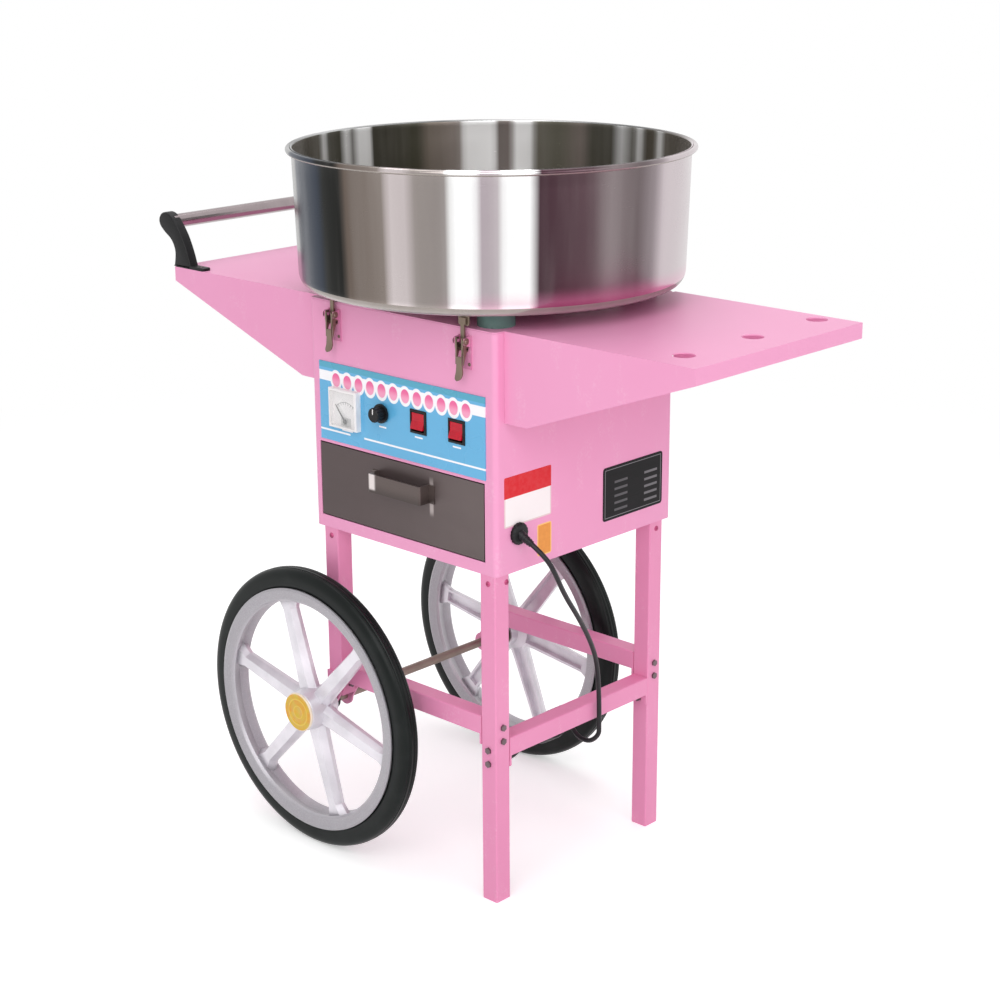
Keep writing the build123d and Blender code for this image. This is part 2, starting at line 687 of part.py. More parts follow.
def latch_places():
    """Two latches at the front and two at the back."""
    return [(x, sign) for sign in (-1, 1) for x in (-latch_x, latch_x)]


def keeper_out():
    """The inner face of a keeper, outwards from the cabinet's face."""
    return hook_pin_out - hook_thickness / 2 - keeper_gap - keeper_thickness


def make_latches():
    """Draw latches, first about X = 0 with their cabinet face at Y = 0, towards -Y."""
    half = lever_width / 2
    t = latch_sheet
    ear = half + running_clearance + 0.25
    base = box(-latch_base_width / 2, latch_base_width / 2, -t, 0, latch_base_bottom, latch_base_top)
    for side in (-1, 1):
        base += plate_yz([(0, lever_pin_z - 8), (-lever_pin_out - 3, lever_pin_z - 4),
                          (-lever_pin_out - 3, lever_pin_z + 4), (0, lever_pin_z + 6)],
                         min(side * ear, side * (ear + t)), max(side * ear, side * (ear + t)))
        base += rod(lever_pin_radius, (side * (ear + t), -lever_pin_out, lever_pin_z),
                    (side * (half - 2 * t), -lever_pin_out, lever_pin_z))

    strap = lever_pin_out + 2.0
    lever = box(-half, half, -strap - t, -strap, lever_bottom + 6, lever_pin_z + 4)
    lever += plate_yz([(-strap, lever_bottom + 9), (-strap - 4.5, lever_bottom), (-strap - 4.5 - t, lever_bottom),
                       (-strap - t, lever_bottom + 9)], -half, half)
    lever -= box(-half + 3, half - 3, -strap - 2 * t, 0, hook_pin_z - 10, lever_pin_z + 5)
    cheek = [(-strap, hook_pin_z - 17), (-strap, lever_pin_z + 4), (-lever_pin_out + 2.5, lever_pin_z + 4),
             (-lever_pin_out + 3.1, lever_pin_z - 2), (-hook_pin_out + 2.5, hook_pin_z + 1),
             (-hook_pin_out + 2.0, hook_pin_z - 2.5), (-hook_pin_out - 1, hook_pin_z - 4)]
    for side in (-1, 1):
        lever += plate_yz(cheek, min(side * half, side * (half - t)), max(side * half, side * (half - t)))
    lever -= rod(lever_pin_radius + running_clearance, (-half - 1, -lever_pin_out, lever_pin_z),
                 (half + 1, -lever_pin_out, lever_pin_z))
    lever += rod(hook_pin_radius, (-half, -hook_pin_out, hook_pin_z), (half, -hook_pin_out, hook_pin_z))

    w = hook_width / 2
    inner, outer = -hook_pin_out + hook_thickness / 2, -hook_pin_out - hook_thickness / 2
    hook = box(-w, w, inner, outer, hook_pin_z, hook_top - 3)
    hook += box(-hook_head_width / 2, hook_head_width / 2, inner, outer, hook_top - 8, hook_top)
    hook += rod(hook_pin_radius + 1.1, (-w, -hook_pin_out, hook_pin_z), (w, -hook_pin_out, hook_pin_z))
    hook -= rod(hook_pin_radius + running_clearance, (-w - 1, -hook_pin_out, hook_pin_z),
                (w + 1, -hook_pin_out, hook_pin_z))

    bases = []
    for n, (x, sign) in enumerate(latch_places()):
        place = Pos(x, sign * half_d, 0) * Rot(0, 0, 0 if sign < 0 else 180)
        bases.append(place * base)
        parts["latch_lever_%d" % (n + 1)] = place * lever
        parts["latch_hook_%d" % (n + 1)] = place * hook
    parts["latch_bases"] = solids(*bases)


# ---- drawer

def make_drawer():
    """A folded tray that hangs on two angle runners, its front plate and a strap pull."""
    t = drawer_sheet
    left, right = drawer_left + tray_inset, drawer_right - tray_inset
    near = front_face + sheet + 0.5
    far = near + drawer_length
    low, high = drawer_bottom + 8, drawer_top - 14
    tray = box(left, right, near, far, low, high) - box(left + t, right - t, near + t, far - t, low + t, high + 1)
    tray += box(left - tray_flange, left + t, near, far, high - t, high)
    tray += box(right - t, right + tray_flange, near, far, high - t, high)
    parts["drawer_tray"] = tray
    front = box(drawer_left, drawer_right, front_face - drawer_proud, near, drawer_bottom, drawer_top)
    parts["drawer_front"] = chamfer(front.edges().group_by(Axis.Y)[0], 0.4)

    face = front_face - drawer_proud
    x0, x1 = pull_middle - pull_width / 2, pull_middle + pull_width / 2
    z0, z1 = pull_z - pull_height / 2, pull_z + pull_height / 2
    pull = box(x0, x1, face - pull_reach, face, z0, z1)
    pull -= box(x0 + pull_sheet, x1 - pull_sheet, face - pull_reach + pull_sheet, face + 1, z0 - 1, z1 + 1)
    pull = fillet(pull.edges().filter_by(Axis.Z).group_by(Axis.Y)[0], 3.0)
    for x, side in ((x0, -1), (x1, 1)):
        pull += box(x - side * pull_sheet, x + side * 9, face - 1.5, face, z0, z1)
    parts["drawer_pull"] = pull

    runners = []
    ledge_top = high - t - runner_clearance
    for side, edge in ((-1, left), (1, right)):
        wall = side * (half_w - sheet - seam_gap)
        ledge = box(edge + side * 1.0, wall, near + 6, far - 2, ledge_top - sheet, ledge_top)
        web = box(wall - side * sheet, wall, near + 6, far - 2, ledge_top - runner_web, ledge_top)
        runners.append(ledge + web)
    parts["drawer_runners"] = solids(*runners)


# ---- spinner

def make_spinner():
    """Motor and bridge, the shaft with its slip rings, and the head that melts and throws the sugar."""
    bottom = motor_top - motor_height
    bore = shaft_radius + running_clearance
    seat = bottom + 20
    parts["motor"] = turned([(0, bottom), (motor_radius - 10, bottom), (motor_radius, bottom + 8),
                             (motor_radius, motor_top - 8), (motor_radius - 10, motor_top), (bore, motor_top),
                             (bore, seat), (0, seat)])
    under = cabinet_top - sheet - seam_gap
    deck = motor_top + 3.0
    bridge = box(-bridge_reach - 6, bridge_reach + 6, -bridge_width / 2, bridge_width / 2, motor_top, deck)
    bridge -= rod(shaft_radius + 6, (0, 0, motor_top - 1), (0, 0, deck + 1))
    for x in (-bridge_reach, bridge_reach):
        bridge += rod(5.0, (x, 0, deck - 1), (x, 0, under))
    post = slip_ring_radius + 38
    bridge += box(post, post + 6, -8, 8, deck - 1, ring_z + 3 * slip_ring_width)
    for z in (ring_z, ring_z + 2 * slip_ring_width):
        bridge += box(slip_ring_radius + seam_gap, post + 1, -3, 3, z + 1, z + slip_ring_width - 1)
    parts["motor_bridge"] = bridge

    top = head_floor + head_height
    shaft = rod(shaft_radius, (0, 0, seat + 0.5), (0, 0, top + 11))
    for n in range(3):
        ring = slip_ring_radius if n != 1 else slip_ring_radius - 5
        z = ring_z + n * slip_ring_width
        shaft += rod(ring, (0, 0, z), (0, 0, z + slip_ring_width))
    shaft += Pos(0, 0, top + 3) * extrude(RegularPolygon(9, 6), 6)
    parts["spinner_shaft"] = shaft

    parts["head_base"] = turned([
        (shaft_radius, head_floor), (head_radius, head_floor), (head_radius, head_floor + 6),
        (head_radius - head_wall, head_floor + 6), (head_radius - head_wall, head_floor + head_wall),
        (12, head_floor + head_wall), (12, head_floor + 8), (shaft_radius, head_floor + 8)])
    z0, z1 = head_floor + 6, top - 3
    band = Pos(0, 0, z0) * extrude(Circle(head_radius) - Circle(head_radius - head_wall), z1 - z0)
    for n in range(slot_count // 2):
        band -= Rot(0, 0, n * 360 / slot_count) * box(-head_radius - 2, head_radius + 2, -slot_width / 2,
                                                      slot_width / 2, z0 + 5, z1 - 5)
    parts["slotted_band"] = band
    coil = head_radius - heater_inset
    heater = tube(coil, coil - 3, (0, 0, z0 + 4), (0, 0, z1 - 4))
    for n in range(3):
        foot = Pos(coil - 1.5, 0, head_floor + head_wall) * extrude(Circle(1.2), z0 + 6 - head_floor - head_wall)
        heater += Rot(0, 0, n * 120 + 5) * foot
    parts["heater_ring"] = heater
    cap = turned([(cap_hole_radius, top - 3), (head_radius, top - 3), (head_radius, top - 1), (head_radius - 12, top),
                  (cap_hole_radius + 4, top + 5), (cap_hole_radius, top + 5)])
    cap += tube(9.0, shaft_radius, (0, 0, top - 3), (0, 0, top + 3))
    for n in range(3):
        cap += Rot(0, 0, n * 120) * box(8.0, cap_hole_radius + 1, -2.5, 2.5, top - 3, top + 1)
    parts["head_cap"] = cap


# ---- mains lead

class Route:
    """A path of straight runs and arcs, each starting where and as the last one ended."""

    def __init__(self, start, heading):
        self.at = Vector(*start)
        self.heading = Vector(*heading).normalized()
        self.edges = []
        self.length = 0.0

    def run(self, length):
        """A straight run."""
        end = self.at + self.heading * length
        self.edges.append(Line(self.at, end))
        self.at = end
        self.length += length

    def bend(self, towards, radius, angle):
        """An arc that turns the heading towards a direction, in steps of at most a quarter turn."""
        side = Vector(*towards)
        side = (side - self.heading * side.dot(self.heading)).normalized()
        while angle > 0.01:
            step = radians(min(angle, 90))
            angle -= 90
            centre = self.at + side * radius
            middle, end = [centre - side * (radius * cos(a)) + self.heading * (radius * sin(a))
                           for a in (step / 2, step)]
            self.edges.append(ThreePointArc(self.at, middle, end))
            self.heading, side = (self.heading * cos(step) + side * sin(step),
                                  side * cos(step) - self.heading * sin(step))
            self.at = end
            self.length += radius * step

    def shift(self, sideways, length):
        """Two equal arcs that move the path sideways over a length."""
        move = Vector(*sideways)
        radius = (length ** 2 + move.length ** 2) / (4 * move.length)
        angle = degrees(2 * atan2(move.length, length))
        self.bend(sideways, radius, angle)
        self.bend([-value for value in sideways], radius, angle)

    def points(self, spacing=1.0):
        """Points along the whole path."""
        found = []
        for edge in self.edges:
            count = max(2, int(edge.length / spacing))
            found += [edge @ (n / count) for n in range(count)]
        return found

    def swept(self, radius):
        """The tube along the path."""
        profile = Plane(origin=self.edges[0] @ 0, z_dir=self.edges[0] % 0) * Circle(radius)
        return sweep(profile, path=Wire(self.edges))


def least_gap(points, radius, apart=40):
    """The smallest gap between parts of a tube that lie further apart along it than a length."""
    least = 1e9
    for i in range(0, len(points), 2):
        for j in range(i + apart, len(points), 2):
            d = (points[i] - points[j]).length
            least = min(least, d)
    return least - 2 * radius


def make_lead():
    """The mains lead: gland, free stretch, hank behind the right rail, clip and plug."""
    wall = (half_w, gland_y, gland_z)
    gland = rod(gland_radius, wall, (half_w + gland_collar, gland_y, gland_z))
    gland = chamfer(gland.edges().group_by(Axis.X)[-1], 2.0)
    gland += rod(gland_neck_radius, (half_w - gland_neck, gland_y, gland_z), wall)
    heading = Vector(*boot_heading).normalized()
    root = Vector(half_w + gland_collar - 3, gland_y, gland_z)
    boot = Plane(origin=root, z_dir=heading)
    gland += boot * Solid.make_cone(cord_radius + 3.2, cord_radius + 1.2, boot_length)
    parts["cable_gland"] = gland

    start = root + heading * boot_length
    places = [start, start + heading * first_run] + [Vector(*point) for point in lead_points]
    radii = []
    for a, b, c in zip(places, places[1:], places[2:]):
        shorter = min((b - a).length, (c - b).length)
        radii.append(0.45 * shorter / tan(radians((b - a).get_angle(c - b)) / 2))
    path = FilletPolyline(*places, radius=radii)
    lead = sweep(Plane(origin=start, z_dir=path % 0) * Circle(cord_radius), path=path)
    parts["cord_lead"] = lead
    section = pi * cord_radius ** 2
    print("lead length %.0f, volume ratio %.4f, radii" % (path.length, lead.volume / section / path.length),
          [round(r) for r in radii])

    route = Route(lead_points[-1], (0, 0, -1))
    route.bend((-1, 0, 0), turn_radius, 180)
    clip_x = route.at.X
    clip_y = route.at.Y - hank_fold - hank_run / 2
    route.bend((0, -1, 0), hank_fold, 90)
    for n in range(hank_loops):
        half_run(route, -1, (0, 0, 0))
        route.bend((0, 0, -1), hank_fold, 180)
        half_run(route, 1, (-hank_step, 0, -hank_drop))
        if n < hank_loops - 1:
            route.bend((0, 0, 1), hank_fold, 180)
    route.shift((0, 0, tail_rise), tail_length)
    route.run(tail_run)
    hank = route.swept(cord_radius)
    parts["cord_hank"] = hank
    print("hank length %.0f, volume ratio %.4f, least gap %.2f" % (
        route.length, hank.volume / section / route.length, least_gap(route.points(), cord_radius)))
    make_plug(route.at)
    make_clip(clip_x, clip_y)


def half_run(route, direction, climb):
    """One side of a loop, drawn in at the waist, where it steps on to the next loop if it climbs."""
    route.shift((0, 0, direction * waist_draw), shoulder_length)
    waist = hank_run - 2 * shoulder_length
    if any(climb):
        route.shift(climb, waist)
    else:
        route.run(waist)
    route.shift((0, 0, -direction * waist_draw), shoulder_length)


def make_plug(end):
    """A moulded plug with a tapered tail, two flat blades and a round pin."""
    x, y, z = end.X, end.Y, end.Z
    tail = Plane(origin=(x, y, z), x_dir=(1, 0, 0), z_dir=(0, 1, 0)) * Solid.make_cone(cord_radius + 1.4, 8.5, plug_tail)
    y0 = y + plug_tail
    body = Pos(x, y0 + plug_length / 2, z) * Box(plug_width, plug_length, plug_height)
    plug = tail + fillet(body.edges().filter_by(Axis.Y), 7)
    y1 = y0 + plug_length
    for side in (-1, 1):
        middle = x + side * 6.35
        plug += box(middle - 0.75, middle + 0.75, y1 - 1, y1 + 16, z + 1, z + 7.5)
    plug += rod(2.4, (x, y1 - 1, z - 7), (x, y1 + 19, z - 7))
    parts["cord_plug"] = plug


def make_clip(first_x, middle_y):
    """A strap round the hank's waist, sheared as the loops step, with a foot on the rail's inner wall."""
    slope = hank_drop / hank_step
    margin = (cord_radius + clip_gap) * hypot(1, slope)
    right = first_x + cord_radius + clip_gap
    left = first_x - hank_loops * hank_step - cord_radius - clip_gap
    top = hank_centre_z + hank_fold - waist_draw + margin
    low = hank_centre_z - hank_fold + waist_draw - margin
    t = clip_sheet
    corners = []
    for x in (right, left):
        sink = slope * (x - first_x)
        corners.append((x, low + sink, top + sink))
    (x1, low1, top1), (x0, low0, top0) = corners
    y0, y1 = middle_y - clip_width / 2, middle_y + clip_width / 2
    strap = plate_xz([(x1 + t, top1 + t), (x0 - t, top0 + t), (x0 - t, low0 - t), (x1 + t, low1 - t)], y0, y1)
    strap -= plate_xz([(x1, top1), (x0, top0), (x0, low0), (x1, low1)], y0 - 1, y1 + 1)
    wall = right_leg_x - leg_size / 2 - seam_gap
    foot = side_rail_bottom + 3
    strap += box(x1 + t / 2, wall, y0, y1, foot, foot + t)
    strap += box(wall - t, wall, y0, y1, foot, foot + 14)
    parts["cord_clip"] = strap


make_cabinet()
make_controls()
parts["left_wing"] = make_wing(-1, left_wing_reach)
parts["right_wing"] = make_wing(1, right_wing_reach)
make_stand()
make_wheels()
make_handle()
make_bowl()
make_latches()
make_drawer()
make_spinner()
make_lead()

os.makedirs("parts", exist_ok=True)
for name, part in parts.items():
    part.label = name
    export_step(part, os.path.join("parts", name + ".step"))
print(len(parts), "parts")
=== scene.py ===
import json
import math
import bmesh
import bpy
import numpy as np
from mathutils import Matrix, Vector


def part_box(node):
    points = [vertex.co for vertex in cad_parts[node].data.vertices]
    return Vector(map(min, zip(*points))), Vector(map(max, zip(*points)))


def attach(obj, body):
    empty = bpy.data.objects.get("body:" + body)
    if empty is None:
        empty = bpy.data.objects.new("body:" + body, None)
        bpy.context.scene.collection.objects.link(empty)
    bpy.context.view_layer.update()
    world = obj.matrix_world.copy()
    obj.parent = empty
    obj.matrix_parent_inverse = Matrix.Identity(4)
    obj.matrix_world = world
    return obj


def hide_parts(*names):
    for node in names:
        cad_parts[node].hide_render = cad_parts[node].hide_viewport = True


# Candy floss cart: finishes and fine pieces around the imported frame.
# Lengths in the settings are millimetres in the cart's frame: X right, Y back, Z up.

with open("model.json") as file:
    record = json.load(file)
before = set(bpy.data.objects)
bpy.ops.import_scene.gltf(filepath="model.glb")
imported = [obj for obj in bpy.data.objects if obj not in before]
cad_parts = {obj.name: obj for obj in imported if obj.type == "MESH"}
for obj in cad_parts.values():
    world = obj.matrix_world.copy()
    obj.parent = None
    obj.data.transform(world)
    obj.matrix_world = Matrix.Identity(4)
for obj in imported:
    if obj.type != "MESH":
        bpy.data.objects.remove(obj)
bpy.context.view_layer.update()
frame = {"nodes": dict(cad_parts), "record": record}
cadNodes = frame["nodes"]
print("frame loaded:", len(cadNodes), "nodes")


# camera

cameraSettings = {
    "place": (1770.05, -1853.51, 1263.08),
    "forward": (-0.66067, 0.69207, -0.29078),
    "up": (-0.19593, 0.21496, 0.95677),
    "lens": 72.57,
    "shift": (0.0058, -0.0090),
}


def placeCamera(s):
    data = bpy.data.cameras.new("photoCamera")
    data.lens, data.sensor_width = s["lens"], 36.0
    data.shift_x, data.shift_y = s["shift"]
    data.clip_end = 50.0
    camera = bpy.data.objects.new("photoCamera", data)
    bpy.context.scene.collection.objects.link(camera)
    back = -Vector(s["forward"]).normalized()
    right = Vector(s["up"]).cross(back).normalized()
    turn = Matrix((right, back.cross(right), back)).transposed()
    camera.matrix_world = Matrix.Translation(Vector(s["place"]) / 1000) @ turn.to_4x4()
    bpy.context.scene.camera = camera


placeCamera(cameraSettings)


# shader helpers

def tint(red, green, blue):  # a screen colour, 0 to 255, as a linear shader colour
    share = np.array([red, green, blue]) / 255
    linear = np.where(share <= 0.04045, share / 12.92, ((share + 0.055) / 1.055) ** 2.4)
    return (*map(float, linear), 1.0)


class Wire:  # one output socket; arithmetic on it adds Math nodes
    def __init__(self, finish, socket):
        self.finish, self.socket = finish, socket

    def math(self, operation, *others):
        return self.finish.node("Math", {"operation": operation}, dict(enumerate((self, *others))))

    def __add__(self, other):
        return self.math("ADD", other)

    def __radd__(self, other):
        return self.math("ADD", other)

    def __sub__(self, other):
        return self.math("SUBTRACT", other)

    def __rsub__(self, other):
        return self.finish.node("Math", {"operation": "SUBTRACT"}, {0: other, 1: self})

    def __mul__(self, other):
        return self.math("MULTIPLY", other)

    def __rmul__(self, other):
        return self.math("MULTIPLY", other)

    def __truediv__(self, other):
        return self.math("DIVIDE", other)

    def above(self, level, soft=0.15):  # 0 below the level and 1 above it, with a soft step
        return self.finish.node("MapRange", {"interpolation_type": "SMOOTHSTEP"},
                                {"Value": self, "From Min": level - soft, "From Max": level + soft})

    def below(self, level, soft=0.15):
        return 1 - self.above(level, soft)

    def within(self, low, high, soft=0.15):
        return self.above(low, soft) * self.below(high, soft)

    def repeated(self, pitch):  # distance from the nearest middle of equal steps
        return self.math("PINGPONG", pitch / 2)


class Finish:  # one material; node() adds any node by its type, its settings and its sockets
    def __init__(self, name):
        self.material = bpy.data.materials.new(name)
        self.material.use_nodes = True
        self.tree = self.material.node_tree
        self.tree.nodes.clear()
        self.output = self.tree.nodes.new("ShaderNodeOutputMaterial")
        self.coordinates = self.node("TexCoord", output="Object")
        millimetres = self.node("VectorMath", {"operation": "SCALE"}, {0: self.coordinates, "Scale": 1000.0})
        parts = [self.node("SeparateXYZ", {}, {0: millimetres}, output=n) for n in range(3)]
        self.x, self.y, self.z = parts

    def node(self, kind, settings=None, inputs=None, output=0):
        made = self.tree.nodes.new("ShaderNode" + kind)
        for key, value in (settings or {}).items():
            if key == "stops":  # (position, colour) pairs of a ramp
                ramp = made.color_ramp.elements
                while len(ramp) < len(value):
                    ramp.new(0.5)
                for stop, (position, colour) in zip(ramp, value):
                    stop.position, stop.color = position, colour
            else:
                setattr(made, key, value)
        for key, value in (inputs or {}).items():
            if isinstance(value, Wire):
                self.tree.links.new(value.socket, made.inputs[key])
            else:
                made.inputs[key].default_value = value
        return Wire(self, made.outputs[output])

    def mixed(self, first, second, share):  # colours, blended by a share
        return self.node("Mix", {"data_type": "RGBA"}, {0: share, 6: first, 7: second}, output=2)

    def noise(self, size, detail=2.0, stretch=(1, 1, 1), at=None):  # size of one blotch in millimetres
        scale = [1000 / size / s for s in stretch]
        spot = self.node("Mapping", {}, {"Vector": at or self.coordinates, "Scale": scale})
        return self.node("TexNoise", {}, {"Vector": spot, "Scale": 1.0, "Detail": detail})

    def relief(self, height, distance, strength=1.0):  # distance in millimetres
        return self.node("Bump", {}, {"Height": height, "Distance": distance / 1000, "Strength": strength},
                         output="Normal")

    def shade(self, colour, roughness, metallic=0.0, normal=None, **fixed):
        values = {"Base Color": colour, "Roughness": roughness, "Metallic": metallic}
        if normal:
            values["Normal"] = normal
        for key, value in fixed.items():  # coat_weight, for one, is the socket Coat Weight
            values[key.replace("_", " ").title().replace("Ior", "IOR")] = value
        shader = self.node("BsdfPrincipled", {}, values)
        self.tree.links.new(shader.socket, self.output.inputs["Surface"])
        return self.material


# finishes, one function for each kind

wheelMiddle = (-148.0, 195.0)  # the axle's x and z


def fromWheelMiddle(f):  # distance from the axle's line
    across, up = f.x - wheelMiddle[0], f.z - wheelMiddle[1]
    return (across * across + up * up).math("SQRT")


def powderPaint(name, colour, deep):  # fine orange peel, with slow drifts of tone
    f = Finish(name)
    drift = f.noise(180, 3)
    peel = f.noise(1.6, 2)
    scuffs = f.noise(26, 6, (1, 1, 2.6)).within(0.60, 0.75, 0.05) * f.noise(3.5, 4).above(0.55, 0.08)
    base = f.mixed(f.mixed(colour, deep, drift.above(0.5, 0.25) * 0.22), tint(246, 214, 228), scuffs * 0.14)
    return f.shade(base, 0.38 + peel * 0.10 + scuffs * 0.15, normal=f.relief(peel, 0.03, 0.5),
                   coat_weight=0.12, coat_roughness=0.3, specular_ior_level=0.4)


steelSettings = {  # degrees round the upright axis from +X, and the grey or the colour painted on the wall there: painted reflections and highlights of the studio
    "outsideStart": 100, "outside": (
        (100, 110), (120, 190), (150, 92), (-165, 196), (-140, 92), (-127, 150), (-121, 146),
        (-119, (40, 50, 68)), (-103, (36, 46, 62)), (-100, (30, 31, 29)), (-92, (34, 34, 32)),
        (-90, (104, 92, 84)), (-77, (138, 128, 122)), (-75, (206, 196, 196)), (-70, (198, 188, 188)),
        (-67, (150, 142, 138)), (-59, (146, 138, 135)), (-57, 254), (-51, 254), (-49, (176, 164, 170)),
        (-45, (186, 176, 180)), (-43, 254), (-36, 254), (-34, (70, 48, 56)), (-19, (94, 74, 80)),
        (-13, (138, 126, 128)), (-3, (108, 96, 98)), (4, (144, 132, 136)), (9, (204, 192, 196)),
        (40, (206, 196, 198)), (58, (120, 112, 110)), (80, 110)),
    "insideStart": -60, "inside": (
        (20, (150, 142, 136)), (68.5, (92, 86, 76)), (71.5, 240), (74, (90, 84, 74)), (78.8, (88, 82, 72)),
        (81.5, 244), (84, (88, 84, 74)), (89.5, 214), (93, (78, 76, 66)), (101, (78, 76, 66)),
        (104, (130, 120, 114)), (112, (102, 100, 88)), (119.5, (110, 106, 96)), (121.5, 252), (126, 252),
        (127.5, (126, 116, 112)), (131.5, (118, 110, 106)), (133, 253), (142, 253), (144, (138, 128, 122)),
        (154, (114, 104, 94)), (157, (70, 68, 56)), (173.5, (64, 62, 52)), (175, 250), (180, 250),
        (181.2, (74, 70, 60)), (184.3, 248), (187.5, (78, 76, 66)), (193, (78, 76, 66)), (195.4, 238),
        (198, (90, 86, 76)), (240, (150, 142, 136))),
    "floor": (176, 170, 166), "floorTop": 776.0, "shelfReflection": (236, 146, 188), "shelfReflectionTop": 791.0,
    "shelfReflectionFrom": 150.0,
}


def paintedReflectionRamp(f, turn, bands, start):  # the painted reflection bands as a ramp over one turn that begins at the start angle
    tones = [tint(*([tone] * 3 if isinstance(tone, int) else tone)) for _, tone in bands]
    stops = sorted((((degrees - start) % 360) / 360, tone) for (degrees, _), tone in zip(bands, tones))
    return f.node("ValToRGB", {"stops": stops}, {0: (turn - start / 360 + 2.0).math("FRACT")})


# the bowl: upright bands of painted reflection round the axis, fine lathe lines, a painted reflection of the
# pink shelf at the foot
def spunSteel(name, s):
    f = Finish(name)
    turn = f.y.math("ARCTAN2", f.x) / (2 * math.pi)
    # painted reflections: bands of light and dark tone on the outer and inner wall
    outside, inside = [paintedReflectionRamp(f, turn, s[side], s[side + "Start"]) for side in ("outside", "inside")]
    trueNormal = f.node("NewGeometry", output="True Normal")
    outward = f.node("VectorMath", {"operation": "DOT_PRODUCT"}, {0: trueNormal, 1: f.coordinates},
                     output="Value")
    facesOut = outward.above(0.0, 0.02)
    wall = f.mixed(inside, outside, facesOut)
    # painted reflection of the pink shelf on the lower outer wall
    glow = f.z.below(s["shelfReflectionTop"], 14) * f.x.math("ABSOLUTE").above(s["shelfReflectionFrom"], 45) * facesOut
    wall = f.mixed(wall, tint(*s["shelfReflection"]), glow * 0.42)
    level = f.mixed(tint(*s["floor"]), wall, f.z.above(s["floorTop"], 3))
    squeezed = f.node("CombineXYZ", {}, {0: f.x / 9000, 1: f.y / 9000, 2: f.z / 1000})
    lines = f.noise(0.9, 3, (1, 1, 1), squeezed)
    streaks = f.noise(26, 3, (1, 1, 12))
    colour = f.mixed(level, tint(255, 250, 248), streaks.above(0.6, 0.25) * 0.05)
    smudge = f.noise(60, 4).above(0.55, 0.2)
    metal = 1 - (1 - facesOut) * 0.5  # the inner wall mirrors itself, and would turn too dark as pure metal
    return f.shade(colour, 0.17 + lines * 0.10 + smudge * 0.05, metal, f.relief(lines, 0.02, 0.25))


def drawnMetal(name, colour, rough, stretch=(1, 1, 1), grain=1.2, dull=0.0):  # sheet, bar and cast metals
    f = Finish(name)
    lines = f.noise(grain, 4, stretch)
    cloud = f.noise(22, 4)
    worn = tuple(c * 0.62 for c in colour[:3]) + (1.0,)
    base = f.mixed(colour, worn, cloud.above(0.52, 0.2) * (0.22 + dull))
    return f.shade(base, rough + lines * 0.12 + cloud * 0.08, 1.0 - dull, f.relief(lines, 0.03, 0.3))


# the wheels' silver lacquer, with metal flake; the rim darker than the spokes as painted shade
def castSilver(name, rimFrom=148.0):
    f = Finish(name)
    rim = fromWheelMiddle(f).above(rimFrom, 8)
    flake = f.noise(0.6, 1)
    cloud = f.noise(40, 3)
    # painted shade: the rim darker than the spokes
    base = f.mixed(tint(232, 228, 235), tint(154, 150, 156), rim)
    base = f.mixed(base, tint(160, 158, 164), cloud.above(0.5, 0.25) * 0.35)
    base = f.mixed(base, tint(240, 238, 242), flake.above(0.62, 0.06) * 0.3)
    return f.shade(base, 0.30 + flake * 0.12, 0.35, f.relief(cloud, 0.05, 0.15), coat_weight=0.5,
                   coat_roughness=0.12)


def rubber(name, colour, rough=0.5, size=0.9, gloss=0.0, shine=0.25):
    f = Finish(name)
    grain = f.noise(size, 3)
    dust = f.noise(34, 5)
    base = f.mixed(colour, tuple(min(1.0, c * 1.9 + 0.012) for c in colour[:3]) + (1.0,),
                   dust.above(0.58, 0.14) * 0.25)
    return f.shade(base, rough + dust * 0.14, 0.0, f.relief(grain, 0.05, 0.35), coat_weight=gloss,
                   coat_roughness=0.3, specular_ior_level=shine)


def mouldedPlastic(name, colour, rough=0.35, size=0.5):  # spark-eroded grain
    f = Finish(name)
    grain = f.noise(size, 2)
    cloud = f.noise(15, 3)
    base = f.mixed(colour, tuple(c * 0.82 for c in colour[:3]) + (1.0,), cloud.above(0.5, 0.2) * 0.5)
    return f.shade(base, rough + grain * 0.12, 0.0, f.relief(grain, 0.02, 0.4), specular_ior_level=0.3)


filmSettings = {
    "blue": (92, 174, 220), "teal": (66, 160, 184), "white": (250, 248, 252), "pink": (238, 96, 156),
    "palePink": (250, 176, 206), "band": (644.5, 657.5), "tealAbove": 661.5, "line": (577.8, 580.2),
    "lineGap": (-92, -66), "beadPitch": 21.2, "beadZ": 647.5, "beadRadius": 7.4, "outline": 10.8,
    "beadReach": 127.4,
    "marks": (((-31.0, 600.4), 6.5), ((34.0, 598.6), 7.0), ((100.7, 598.6), 7.0), ((-97.5, 583.4), 10.0)),
}


